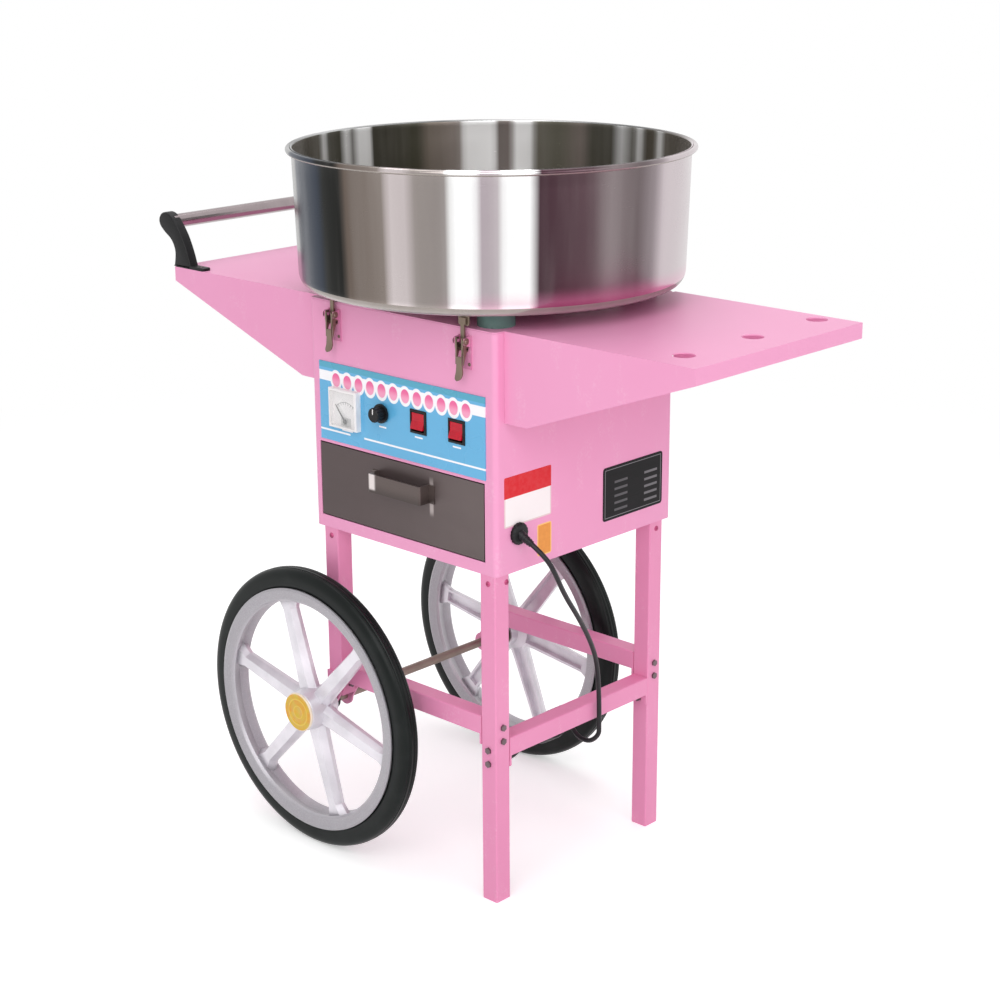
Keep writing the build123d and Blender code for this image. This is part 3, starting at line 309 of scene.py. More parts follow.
def printedFilm(s):  # blue film: a white band with a row of outlined beads, a fine line and small bare marks
    f = Finish("panelFilm")
    x, z = f.x, f.z
    mottle = f.noise(45, 2)
    base = f.mixed(tint(*s["blue"]), tint(108, 190, 232), mottle.above(0.5, 0.3) * 0.14)
    base = f.mixed(base, tint(*s["teal"]), z.above(s["tealAbove"], 0.3) * 0.75)
    bead = ((x + s["beadPitch"] * 50.5).repeated(s["beadPitch"]).math("POWER", 2.0)
            + ((z - s["beadZ"]) * 0.82).math("POWER", 2.0)).math("SQRT")
    inReach = x.math("ABSOLUTE").below(s["beadReach"], 0.3)
    white = z.within(*s["band"], 0.3).math("MAXIMUM", bead.below(s["outline"], 0.4) * inReach)
    lineMask = z.within(*s["line"], 0.25) * (1 - x.within(*s["lineGap"], 0.3))
    white = white.math("MAXIMUM", lineMask)
    for (markX, markZ), reach in s["marks"]:
        white = white.math("MAXIMUM",
                           x.within(markX - reach, markX + reach, 0.4) * z.within(markZ - 1, markZ + 1, 0.3))
    base = f.mixed(base, tint(*s["white"]), white)
    beadTone = f.mixed(tint(*s["pink"]), tint(*s["palePink"]), z.below(s["beadZ"] + 1, 5) * 0.7)
    base = f.mixed(base, beadTone, bead.below(s["beadRadius"], 0.4) * inReach)
    return f.shade(base, 0.24 + mottle * 0.08, 0.0, f.relief(f.noise(0.8, 2), 0.01, 0.3), coat_weight=0.4,
                   coat_roughness=0.12)


dialSettings = {
    "pivot": (-97.5, 596.0), "arc": 25.5, "reach": 44.0, "ticks": 8, "dialY": (-173.4, -171.0),
    "foot": (9.5, 601.0),
}


def dialWhite(s):  # the meter: white moulding, with an arc of scale marks on the recessed dial
    f = Finish("meterWhite")
    px, pz = s["pivot"]
    across, up = f.x - px, f.z - pz
    radius = (across * across + up * up).math("SQRT")
    turn = across.math("ARCTAN2", up) * (180 / math.pi)  # degrees from upright
    span = turn.math("ABSOLUTE").below(s["reach"], 0.3)
    step = 2 * s["reach"] / s["ticks"]
    tick = (turn + s["reach"] + step * 20).repeated(step).below(0.9, 0.25)
    tick = tick * radius.within(s["arc"] - 3.6, s["arc"], 0.15)
    arc = radius.within(s["arc"] - 0.5, s["arc"] + 0.1, 0.12)
    onDial = f.y.within(*s["dialY"], 0.3)
    ink = tick.math("MAXIMUM", arc) * span * onDial
    footWidth, footTop = s["foot"]
    foot = f.z.below(footTop, 0.8) * across.math("ABSOLUTE").below(footWidth, 0.8) * onDial
    grain = f.noise(0.7, 2)
    base = f.mixed(tint(244, 240, 240), tint(228, 224, 226), f.noise(12, 3).above(0.5, 0.2) * 0.5)
    base = f.mixed(f.mixed(base, tint(30, 30, 34), ink), tint(176, 174, 174), foot * 0.8)
    return f.shade(base, 0.3 + grain * 0.1, 0.0, f.relief(grain, 0.01, 0.3))


def clearPane():
    f = Finish("clearWindow")
    haze = f.noise(9, 3)
    return f.shade(tint(250, 252, 252), 0.03 + haze * 0.04, 0.0, alpha=0.14)


def litRed():  # the switches' translucent red, ribbed across
    f = Finish("rockerRed")
    glow = f.noise(6, 3)
    base = f.mixed(tint(184, 6, 38), tint(208, 18, 44), glow.above(0.5, 0.2) * 0.5)
    ribs = f.z.repeated(2.2).below(0.45, 0.2)
    return f.shade(base, 0.18 + glow * 0.08, 0.0, f.relief(1 - ribs, 0.12, 0.5), coat_weight=0.15,
                   specular_ior_level=0.25)


capSettings = {"rings": ((17.2, 19.0), (8.0, 9.2)), "edge": 25.4}


def capYellow(s):  # hub caps: yellow with plain rings, worn patches and a pale rolled edge
    f = Finish("capYellow")
    radius = fromWheelMiddle(f)
    wear = f.noise(9, 4)
    base = f.mixed(tint(220, 168, 22), tint(214, 132, 20), wear.above(0.54, 0.2) * 0.5)
    base = f.mixed(base, tint(192, 184, 40), wear.below(0.44, 0.2) * 0.5)
    for low, high in s["rings"]:
        base = f.mixed(base, tint(230, 200, 70), radius.within(low, high, 0.25) * 0.6)
    base = f.mixed(base, tint(240, 226, 208), radius.above(s["edge"], 0.4) * 0.9)
    return f.shade(base, 0.3 + wear * 0.15, 0.0, f.relief(wear, 0.03, 0.3), coat_weight=0.3)


drawerSettings = {
    "frontY": -165.0, "highlightX": (51.0, 57.5), "highlightZ": (503.0, 548.0), "pullY": -178.0, "pullShade": 524.0,
    "bright": (-41.0, -30.0), "pullHighlightFrom": 521.0,
}


def drawerFace(s):  # dark brushed steel, lines along the drawer, painted light towards the right, and one soft upright painted highlight beside the pull
    f = Finish("drawerSteel")
    lines = f.noise(1.1, 4, (60, 1, 1))
    cloud = f.noise(70, 3, (1.6, 1, 1))
    # painted light: the steel lighter towards the right
    base = f.mixed(tint(84, 71, 71), tint(106, 94, 93), f.x.above(20, 110) * 0.7)
    base = f.mixed(base, tint(70, 60, 59), cloud.above(0.52, 0.2) * 0.35)
    # painted highlight: a soft upright reflection beside the pull
    paintedHighlight = f.x.within(*s["highlightX"], 1.2) * f.z.within(*s["highlightZ"], 5) * f.y.below(s["frontY"], 2)
    base = f.mixed(base, tint(188, 176, 174), paintedHighlight * 0.75)
    return f.shade(base, 0.30 + lines * 0.16, 0.35, f.relief(lines, 0.02, 0.35))


def pullFace(s):  # the strap pull: as dark as the drawer, with a painted highlight at the left end and painted shade along its lower half
    f = Finish("pullSteel")
    lines = f.noise(0.9, 4, (30, 1, 1))
    # painted highlight on the pull's left end
    bright = f.x.within(*s["bright"], 2.5) * f.y.below(s["pullY"], 3) * f.z.above(s["pullHighlightFrom"], 2)
    # painted shade: the pull darker along its lower half
    base = f.mixed(tint(94, 82, 79), tint(62, 52, 50), f.z.below(s["pullShade"], 9) * 0.8)
    base = f.mixed(base, tint(236, 226, 224), bright * 0.9)
    return f.shade(base, 0.24 + lines * 0.12, 0.4, f.relief(lines, 0.02, 0.3))


pinkPaint = powderPaint("pinkPaint", tint(236, 159, 198), tint(230, 142, 184))
standPink = powderPaint("standPink", tint(232, 146, 186), tint(222, 124, 170))
bowlSteel = spunSteel("bowlSteel", steelSettings)
tyreRubber = rubber("tyreRubber", tint(16, 21, 20), 0.26, gloss=0.1, shine=0.12)
padRubber = rubber("padRubber", tint(92, 120, 114), 0.55)
cordRubber = rubber("cordRubber", tint(28, 26, 30), 0.36, 0.6, 0.15)
blackPlastic = mouldedPlastic("blackPlastic", tint(18, 18, 20), 0.4)
wheelSilver = castSilver("wheelSilver")
yellowCap = capYellow(capSettings)
panelFilm = printedFilm(filmSettings)
meterWhite = dialWhite(dialSettings)
clearWindow = clearPane()
rockerRed = litRed()
drawerSteel = drawerFace(drawerSettings)
polishedTube = drawnMetal("polishedTube", tint(166, 154, 156), 0.10, (1, 30, 1), 0.8)
brightSteel = drawnMetal("brightSteel", tint(214, 208, 206), 0.22, (30, 1, 1), 0.9)
latchMetal = drawnMetal("latchMetal", tint(138, 122, 108), 0.34, (1, 1, 14), 0.8, 0.12)
axleMetal = drawnMetal("axleMetal", tint(150, 136, 126), 0.40, (1, 20, 1), 0.9, 0.15)
fastenerMetal = drawnMetal("fastenerMetal", tint(120, 104, 108), 0.36, (1, 1, 1), 1.4, 0.2)
innerSteel = drawnMetal("innerSteel", tint(176, 178, 180), 0.38, (1, 1, 8), 2.5, 0.1)
headAluminium = drawnMetal("headAluminium", tint(206, 206, 208), 0.30, (6, 6, 1), 0.8)
heaterMetal = drawnMetal("heaterMetal", tint(120, 100, 92), 0.46, (1, 1, 6), 0.8, 0.2)
motorPaint = powderPaint("motorPaint", tint(58, 62, 68), tint(44, 48, 54))
screwPink = drawnMetal("screwPink", tint(196, 84, 130), 0.34, (1, 1, 1), 1.2, 0.55)
pullSteel = pullFace(drawerSettings)
# latch bases: pink paint, darker than the cabinet's as painted shade beside the levers
latchShadedPaint = powderPaint("latchShadedPaint", tint(214, 132, 172), tint(196, 108, 152))
print("finishes made")

finishOf = {
    "pink_paint": pinkPaint, "stand_pink": standPink, "bowl_steel": bowlSteel,
    "polished_tube": polishedTube, "tyre_rubber": tyreRubber, "wheel_silver": wheelSilver,
    "cap_yellow": yellowCap, "black_plastic": blackPlastic, "panel_film": panelFilm,
    "meter_white": meterWhite, "clear_window": clearWindow, "rocker_red": rockerRed,
    "drawer_steel": drawerSteel, "bright_steel": brightSteel, "latch_metal": latchMetal,
    "axle_metal": axleMetal, "fastener_metal": fastenerMetal, "inner_steel": innerSteel,
    "motor_paint": motorPaint, "head_aluminium": headAluminium, "heater_metal": heaterMetal,
    "pad_rubber": padRubber, "cord_rubber": cordRubber,
}
# nodes that leave their slot's usual finish
ownFinish = {"drawer_pull": pullSteel, "latch_bases": latchShadedPaint}
for entry in frame["record"]["subparts"]:
    mesh = cadNodes[entry["node"]].data
    mesh.materials.clear()
    mesh.materials.append(ownFinish.get(entry["node"], finishOf[entry["material_slot"]]))


# surfaces worked out as whole arrays

def gridFaces(rows, columns, wrapRows, wrapColumns):  # one square between each four neighbours of a grid
    rowStarts = np.arange(rows if wrapRows else rows - 1)
    columnStarts = np.arange(columns if wrapColumns else columns - 1)
    i, j = np.meshgrid(rowStarts, columnStarts, indexing="ij")
    down, right = (i + 1) % rows, (j + 1) % columns
    corners = [i * columns + j, down * columns + j, down * columns + right, i * columns + right]
    return np.stack(corners, -1).reshape(-1, 4)


def addPiece(name, points, faces, body, slotName, finish, replaced=(), crease=32):  # points in millimetres
    mesh = bpy.data.meshes.new(name)
    mesh.from_pydata((np.asarray(points, float).reshape(-1, 3) / 1000).tolist(), [], [list(f) for f in faces])
    shape = bmeshFrom(mesh)
    shape.to_mesh(mesh)
    shape.free()
    mesh.shade_smooth()
    mesh.set_sharp_from_angle(angle=math.radians(crease))
    mesh.materials.append(finish)
    piece = bpy.data.objects.new(name, mesh)
    bpy.context.scene.collection.objects.link(piece)
    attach(piece, body)
    if replaced:
        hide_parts(*replaced)
    return piece


def bmeshFrom(mesh):  # closes poles and seams, and turns the faces outwards
    shape = bmesh.new()
    shape.from_mesh(mesh)
    bmesh.ops.remove_doubles(shape, verts=shape.verts, dist=1e-7)
    bmesh.ops.dissolve_degenerate(shape, dist=1e-8, edges=shape.edges)
    bmesh.ops.recalc_face_normals(shape, faces=shape.faces)
    return shape


def axesFor(heading):  # two unit directions across a heading, and the heading itself
    ahead = np.array(heading, float)
    ahead /= np.linalg.norm(ahead)
    side = np.cross(ahead, (0, 0, 1) if abs(ahead[2]) < 0.9 else (1, 0, 0))
    side /= np.linalg.norm(side)
    return side, np.cross(ahead, side), ahead


def spun(profile, origin, heading, segments=96, scallop=None):
    # A profile of (radius, height) carried once round a heading.
    # The scallop multiplies the radius by a wave of the angle.
    side, lift, ahead = axesFor(heading)
    turn = np.linspace(0, 2 * np.pi, segments, endpoint=False)
    radius, height = np.array(profile, float).T
    radius = radius[:, None] * (np.ones(segments) if scallop is None else scallop(turn, radius[:, None]))
    ring = np.cos(turn)[:, None] * side + np.sin(turn)[:, None] * lift
    points = np.array(origin) + radius[..., None] * ring + height[:, None, None] * ahead
    return points


def spunPiece(name, profile, origin, heading, body, slotName, finish, replaced=(), segments=96, scallop=None,
              crease=32):
    points = spun(profile, origin, heading, segments, scallop)
    faces = gridFaces(len(profile), segments, True, True)
    return addPiece(name, points, faces, body, slotName, finish, replaced, crease)


def arcPoints(centre, radius, start, end, count):  # an arc in the plane of a profile, in degrees
    turn = np.radians(np.linspace(start, end, count))
    return [(centre[0] + radius * np.cos(a), centre[1] + radius * np.sin(a)) for a in turn]


def roundedOutline(width, height, corner, steps=6):  # a rectangle with round corners, counter-clockwise
    outline = []
    for quarter, (sx, sy) in enumerate(((1, 1), (-1, 1), (-1, -1), (1, -1))):
        centre = (sx * (width / 2 - corner), sy * (height / 2 - corner))
        outline += arcPoints(centre, corner, quarter * 90, quarter * 90 + 90, steps)
    return np.array(outline)


def plates(outlines, origin, across, up, depths):
    # Rings of one outline at growing depths along the normal, closed by a face at each end.
    across, up = np.array(across, float), np.array(up, float)
    normal = np.cross(across, up)
    rings = [np.array(origin) + o[:, :1] * across + o[:, 1:] * up + d * normal
             for o, d in zip(outlines, depths)]
    count = len(outlines[0])
    faces = gridFaces(len(rings), count, False, True).tolist()
    faces += [list(range(count)), list(range((len(rings) - 1) * count, len(rings) * count))]
    return np.concatenate(rings), faces


def smoothLine(points, steps=6):  # a Catmull-Rom curve through the points
    p = np.array([points[0], *points, points[-1]], float)
    t = np.linspace(0, 1, steps, endpoint=False)[None, :, None]
    a, b, c, d = [p[n:len(p) - 3 + n, None] for n in range(4)]
    curve = b + (c - a) * t / 2 + (a - 2.5 * b + 2 * c - d / 2) * t ** 2
    curve = curve + (1.5 * (b - c) + (d - a) / 2) * t ** 3
    return np.concatenate([curve.reshape(-1, 2), p[-1:]])


def inset(outline, depth):  # a counter-clockwise outline moved inwards along its own normals
    ahead = np.roll(outline, -1, 0) - np.roll(outline, 1, 0)
    ahead /= np.linalg.norm(ahead, axis=1, keepdims=True)
    return outline + depth * np.stack([-ahead[:, 1], ahead[:, 0]], -1)


def merged(parts):  # several (points, faces) as one
    points, faces, total = [], [], 0
    for some, polygons in parts:
        some = np.asarray(some).reshape(-1, 3)
        points.append(some)
        faces += [[int(i) + total for i in polygon] for polygon in polygons]
        total += len(some)
    return np.concatenate(points), faces


# mains lead

leadSettings = {
    "gland": (164.75, -130.0, 493.0), "bootRoot": (167.75, -130.0, 493.0),
    "bootHeading": (0.80, 0.20, -0.566), "bootLength": 20.0, "firstRun": 24.0, "radius": 3.2, "length": 1.76,
    "route": [(211.0, -113.0, 447.0), (204.0, -88.0, 411.0), (195.0, -50.5, 368.0), (184.0, -16.0, 326.0),
              (174.0, 9.5, 288.0), (169.0, 20.0, 246.0), (168.55, 22.0, 212.0), (168.55, 22.0, 187.0)],
    "uTurn": 25.6, "loops": 4, "step": 6.95, "drop": 4.4, "fold": 19.2, "nearY": 2.8, "farY": -95.2,
    "waist": 8.0, "tail": [(89.55, 14.8, 150.2), (89.55, 38.8, 172.2), (89.55, 57.2, 172.2)],
}


def makeLead(s):
    heading = np.array(s["bootHeading"]) / np.linalg.norm(s["bootHeading"])
    start = np.array(s["bootRoot"]) + heading * s["bootLength"]
    route = [start, start + heading * s["firstRun"], *map(np.array, s["route"])]
    corner = math.tan(math.radians(22.5))  # corners of the polygon round a bend, as a share of its radius
    topX, backY, level = s["route"][-1]
    radius = s["uTurn"]
    middle, reach = topX - radius, radius * corner
    route += [(topX, backY, level - reach), (middle + reach, backY, level - radius),
              (middle - reach, backY, level - radius), (middle - radius, backY, level - reach)]
    fold, near, far = s["fold"], s["nearY"], s["farY"]
    bend = fold * corner
    route += [(middle - radius, near + fold, level + bend), (middle - radius, near + bend, level + fold)]
    # each loop: a run drawn in at the waist, a fold, the run back, and the next fold
    for loop in range(s["loops"]):
        x, z = middle - radius - loop * s["step"], level - loop * s["drop"]
        drawn = fold - s["waist"]
        route += [(x, near - 7, z + fold), (x, near - 21, z + drawn), (x, far + 21, z + drawn),
                  (x, far + 7, z + fold), (x, far - bend, z + fold), (x, far - fold, z + bend),
                  (x, far - fold, z - bend), (x, far - bend, z - fold), (x, far + 7, z - fold),
                  (x, far + 21, z - drawn)]
        x, z = x - s["step"], z - s["drop"]
        route += [(x, near - 21, z - drawn), (x, near - 7, z - fold)]
        if loop < s["loops"] - 1:
            route += [(x, near + bend, z - fold), (x, near + fold, z - bend), (x, near + fold, z + bend),
                      (x, near + bend, z + fold)]
    route += s["tail"]
    curve = bpy.data.curves.new("mainsLead", "CURVE")
    curve.dimensions = "3D"
    spline = curve.splines.new("NURBS")
    spline.points.add(len(route) - 1)
    flat = np.ones((len(route), 4))
    flat[:, :3] = np.array([list(p) for p in route]) / 1000
    spline.points.foreach_set("co", flat.ravel())
    spline.order_u = 3
    spline.use_endpoint_u = True
    spline.resolution_u = 6
    curve.bevel_depth = s["radius"] / 1000
    curve.bevel_resolution = 5
    curve.use_fill_caps = True
    curve.materials.append(cordRubber)
    lead = bpy.data.objects.new("mainsLead", curve)
    bpy.context.scene.collection.objects.link(lead)
    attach(lead, "root")
    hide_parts("cord_lead", "cord_hank")
    return lead, start


def makeGland(s):  # a ribbed collar on the cabinet's side, and a tapered boot with rings
    place = np.array(s["gland"])
    knurl = lambda turn, r: 1 + np.where(r > 12.5, 0.022, 0) * np.cos(18 * turn)
    collar = [(3, -12), (7.8, -12), (7.8, 0), (13.6, 0), (14, 0.6), (14, 3.4), (13.4, 4.6), (11.8, 5.8),
              (9, 6), (3, 6)]
    piece = spunPiece("glandCollar", collar, place, (1, 0, 0), "root", "black_plastic", blackPlastic,
                      ("cable_gland",), 108, knurl)
    share = np.linspace(0, 1, 41)
    radius = 6.4 - 2.0 * share - 0.55 * (np.cos(share * 2 * np.pi * 5) < -0.1)
    height = share * s["bootLength"]
    profile = [(2.0, 0.0), *zip(radius, height), (3.3, s["bootLength"]), (2.0, s["bootLength"] - 1)]
    boot = spunPiece("glandBoot", profile, s["bootRoot"], s["bootHeading"], "root", "cord_rubber", cordRubber,
                     (), 40)
    return piece, boot


plugSettings = {
    "end": (89.55, 57.2, 172.2), "tail": 22.0, "length": 36.0, "width": 27.0, "height": 26.0,
    "bladeAt": (6.35, 4.25), "pinDrop": 7.0,
}


def makePlug(s):  # a moulded body of superellipse sections along Y, with flat blades and a round pin
    ringed = [(t, 4.8 + 3.4 * (t / s["tail"]) ** 1.5 - 0.5 * (k % 2))
              for k, t in enumerate(np.linspace(0.6, s["tail"] - 1, 13))]
    stations = [(-0.2, 4.6, 4.6, 2.0)] + [(t, wide, wide, 2.0) for t, wide in ringed]
    w, h, end = s["width"] / 2, s["height"] / 2, s["tail"] + s["length"]
    stations += [(s["tail"] + 2, 9.8, 9.4, 2.3), (s["tail"] + 8, 12.2, 11.4, 2.8),
                 (s["tail"] + 16, 11.8, 11.2, 3.0), (s["tail"] + 25, w - 0.6, h - 0.5, 3.2),
                 (end - 3, w, h, 3.4), (end - 0.8, w, h, 3.4), (end, w - 1, h - 1, 3.4)]
    turn = np.linspace(0, 2 * np.pi, 48, endpoint=False)
    y, wide, tall, power = np.array(stations).T[:, :, None]
    x = np.sign(np.cos(turn)) * np.abs(np.cos(turn)) ** (2 / power) * wide
    z = np.sign(np.sin(turn)) * np.abs(np.sin(turn)) ** (2 / power) * tall
    points = np.stack([x, y + 0 * turn, z], -1) + np.array(s["end"])
    faces = gridFaces(len(stations), 48, False, True).tolist()
    faces += [list(range(48)), list(range((len(stations) - 1) * 48, len(stations) * 48))]
    body = addPiece("plugBody", points, faces, "root", "cord_rubber", cordRubber, ("cord_plug",), 40)
    ex, ey, ez = s["end"]
    ey += end
    blade = roundedOutline(1.5, 6.5, 0.6, 3)
    parts = [plates([blade, blade, blade * 0.8], (ex + side * s["bladeAt"][0], ey - 1, ez + s["bladeAt"][1]),
                    (1, 0, 0), (0, 0, 1), (0, -16, -17)) for side in (-1, 1)]
    pinProfile = [(0, 0), (2.4, 0), (2.4, 18.0), (1.9, 19.6), (0, 20)]
    parts.append((spun(pinProfile, (ex, ey - 1, ez - s["pinDrop"]), (0, 1, 0), 20),
                  gridFaces(5, 20, False, True)))
    pins = addPiece("plugPins", *merged(parts), "root", "bright_steel", brightSteel)
    return body, pins


lead, leadExit = makeLead(leadSettings)
collarPiece, bootPiece = makeGland(leadSettings)
plugBody, plugPins = makePlug(plugSettings)
[float(v) / 1000 for v in leadExit]
print("mains lead laid")


# bowl

bowlSettings = {
    "rim": 260.0, "top": 944.0, "wallTop": 252.7, "wallFoot": 248.0, "floor": 770.5, "sheet": 1.5,
    "hole": 85.0, "collar": 12.0, "bead": 3.6, "corner": (12.0, 17.0), "keeperX": 116.0, "keeperY": 170.9,
    "keeperDrop": 17.5, "keeperWidth": 18.0,
}


def makeBowl(s):  # outer line from the hole to the rolled rim, and back down inside one sheet further in
    t, floor, neck = s["sheet"], s["floor"], s["top"] - 2 * s["bead"]
    run, rise = s["corner"]
    foot = s["wallFoot"] - run
    turn = np.radians(np.linspace(-90, 0, 9))
    outerCorner = [(foot + run * np.cos(a), floor + rise + rise * np.sin(a)) for a in turn]
    innerCorner = [(foot + (run - t) * np.cos(a), floor + rise + (rise - t) * np.sin(a)) for a in turn[::-1]]
    centre = (s["rim"] - s["bead"], s["top"] - s["bead"])
    bead = arcPoints(centre, s["bead"], -150, 150, 15)
    crown = arcPoints((s["wallTop"] + 0.6, s["top"] - 2.2), 2.2, 80, 180, 6)
    flank = [(r, z) for r, z in zip(np.linspace(s["wallFoot"], s["wallTop"], 10)[1:],
                                    np.linspace(floor + rise, neck, 10)[1:])]
    back = [(r - t, z) for r, z in flank[::-1]]
    hole = s["hole"]
    profile = [(hole, floor), *outerCorner, *flank, *bead, *crown, *back, *innerCorner,
               (hole + 3.5, floor + t), (hole + 2, floor + 2.4), (hole + t, floor + 4),
               (hole + t, floor + s["collar"] - 0.7), (hole + t / 2, floor + s["collar"]),
               (hole, floor + s["collar"] - 0.7), (hole, floor + 1.2)]
    spunPiece("spunBowl", profile, (0, 0, 0), (0, 0, 1), "bowl", "bowl_steel", bowlSteel, ("bowl",), 192,
              None, 40)
    tabs, tab = [], roundedOutline(s["keeperWidth"], s["keeperDrop"], 3.0, 5)
    for x in (-s["keeperX"], s["keeperX"]):
        for side in (-1, 1):
            place = (x, side * s["keeperY"] + 1.0, floor - s["keeperDrop"] / 2)
            tabs.append(plates([tab * 0.96, tab, tab, tab * 0.96], place, (1, 0, 0), (0, 0, 1),
                               (0, 0.3, 1.7, 2.0)))
    addPiece("bowlKeepers", *merged(tabs), "bowl", "latch_metal", latchMetal)


makeBowl(bowlSettings)
print("bowl spun")


# wheels

wheelSettings = {
    "plane": 201.0, "outer": 195.0, "seat": 163.4, "rim": 169.6, "half": 14.0, "capFace": 228.5,
    "capRadius": 27.0, "sleeveFace": 171.9,
    "sleeve": ((6.3, 0), (11.5, 0), (12.5, 1), (12.5, 9.5), (11.5, 10.5), (6.3, 10.5)),
}


def makeTyre(side, name, s):  # a round-shouldered tread with three grooves, flat where it grips the rim
    h = s["half"]
    turn = np.radians(np.linspace(-8, 188, 41))
    across = -h * np.sign(np.cos(turn)) * np.abs(np.cos(turn)) ** 0.72
    lift = np.sign(np.sin(turn)) * np.abs(np.sin(turn)) ** 0.78
    radius = s["rim"] + 9 + (s["outer"] - s["rim"] - 9) * lift
    for groove in (-5.2, 0, 5.2):
        radius = radius - 0.9 * np.exp(-((across - groove) / 0.75) ** 2) * (lift > 0.7)
    profile = [(s["seat"], -h + 5.3), (s["rim"] + 0.4, -h + 0.6), (s["rim"] + 1.6, -h), *zip(radius, across),
               (s["rim"] + 1.6, h), (s["rim"] + 0.4, h - 0.6), (s["seat"], h - 5.3)]
    x, z = wheelMiddle
    return spunPiece(name + "TyrePiece", profile, (x, side * s["plane"], z), (0, side, 0), name + "_wheel",
                     "tyre_rubber", tyreRubber, (name + "_tyre",), 160)


def makeHubCap(side, name, s):  # a pressed cap: raised ring, dished middle, rolled edge
    r = s["capRadius"]
    crown = [(0, 2.1), (6.5, 2.1), (7.6, 2.6), (9.4, 2.6), (10.4, 2.2), (16.2, 2.2), (17, 2.9), (19.2, 2.9),
             (20, 2.4), (r - 3.2, 2.3), (r - 2, 2.9), (r - 0.8, 2.5), (r, 1.2), (r - 0.2, 0.05),
             (15.6, 0.05), (15.4, -3.0), (13.4, -3.0), (13.4, 0.6), (0, 0.6)]
    x, z = wheelMiddle
    place = (x, side * (s["capFace"] - 3), z)
    points = spun(crown, place, (0, side, 0), 72)
    return addPiece(name + "CapPiece", points, gridFaces(len(crown), 72, False, True), name + "_wheel",
                    "cap_yellow", yellowCap, (name + "_hub_cap",))


def makeSleeve(side, name, s):  # the black sleeve between the hub and its hanger
    x, z = wheelMiddle
    return spunPiece(name + "Sleeve", s["sleeve"], (x, side * s["sleeveFace"], z), (0, -side, 0),
                     name + "_wheel", "black_plastic", blackPlastic, (), 40)


for side, name in ((-1, "front"), (1, "rear")):
    for make in (makeTyre, makeHubCap, makeSleeve):
        make(side, name, wheelSettings)
print("tyres and caps made")


# stickers and plates on the right side, and small fasteners

stickerSettings = {
    "face": 164.75,
    "label": {"y": (-154.5, -69.6), "z": (504.0, 568.0), "corner": 2.0, "thick": 0.25, "border": 1.9,
              "bandFrom": 541.0},
    "tag": {"y": (-95.0, -69.0), "z": (453.5, 495.0), "corner": 3.0, "thick": 0.25, "border": 1.6},
    "ratingPlate": {
        "y": (29.8, 149.1), "z": (468.8, 540.5), "corner": 4.0, "thick": 0.75, "hairline": (3.35, 4.15),
        "rows": 5, "firstRow": 479.0, "rowStep": 9.4, "rowHeight": 3.2,
        "fields": (((112, 138), 1.0), ((52, 78), 0.6)),
    },
}


def insideEdge(f, s, border, soft=0.2):  # 1 inside the sticker's outline drawn in by the border
    (y0, y1), (z0, z1) = s["y"], s["z"]
    return f.y.within(y0 + border, y1 - border, soft) * f.z.within(z0 + border, z1 - border, soft)


def labelFilm(s):  # white card with a plain red head band and a hairline border
    f = Finish("labelFilm")
    band = f.z.above(s["bandFrom"], 0.3)
    edge = 1 - insideEdge(f, s, s["border"])
    base = f.mixed(tint(246, 240, 240), tint(214, 34, 44), band)
    base = f.mixed(base, tint(226, 200, 200), edge * (1 - band) * 0.8)
    paper = f.noise(6, 3)
    return f.shade(f.mixed(base, tint(232, 214, 216), paper.above(0.55, 0.25) * 0.04), 0.35 + paper * 0.1,
                   specular_ior_level=0.2)


def tagFilm(s):  # orange card with a pale border
    f = Finish("tagFilm")
    edge = 1 - insideEdge(f, s, s["border"])
    paper = f.noise(5, 3)
    base = f.mixed(tint(232, 150, 56), tint(208, 118, 36), paper.above(0.5, 0.25) * 0.3)
    return f.shade(f.mixed(base, tint(250, 200, 120), edge), 0.34 + paper * 0.1)


def plateInk(s):  # black anodised plate, a light hairline frame and bare light fields
    f = Finish("plateInk")
    outer, inner = [insideEdge(f, s, border, 0.15) for border in s["hairline"]]
    frameLine = (1 - inner) * outer
    columns = sum(f.y.within(*reach, 0.2) * strength for reach, strength in s["fields"])
    lows = [s["firstRow"] + row * s["rowStep"] for row in range(s["rows"])]
    fields = sum(f.z.within(low, low + s["rowHeight"], 0.2) for low in lows) * columns
    brushed = f.noise(0.9, 3, (1, 40, 1))
    base = f.mixed(tint(17, 15, 17), tint(30, 28, 31), brushed.above(0.5, 0.2) * 0.5)
    base = f.mixed(base, tint(150, 148, 152), (frameLine * 0.8 + fields * 0.55).math("MINIMUM", 1.0))
    return f.shade(base, 0.28 + brushed * 0.12, 0.1, f.relief(brushed, 0.01, 0.3), specular_ior_level=0.15)


def makeStickers(s):
    for name, finishFor, slotName in (("label", labelFilm, "meter_white"), ("tag", tagFilm, "cap_yellow"),
                                      ("ratingPlate", plateInk, "black_plastic")):
        spot = s[name]
        (y0, y1), (z0, z1) = spot["y"], spot["z"]
        outline = roundedOutline(y1 - y0, z1 - z0, spot["corner"])
        centre = (s["face"], (y0 + y1) / 2, (z0 + z1) / 2)
        points, faces = plates([outline, outline, outline * 0.997], centre, (0, 1, 0), (0, 0, 1),
                               (0, spot["thick"] * 0.7, spot["thick"]))
        addPiece(name + "Piece", points, faces, "root", slotName, finishFor(spot), (), 20)


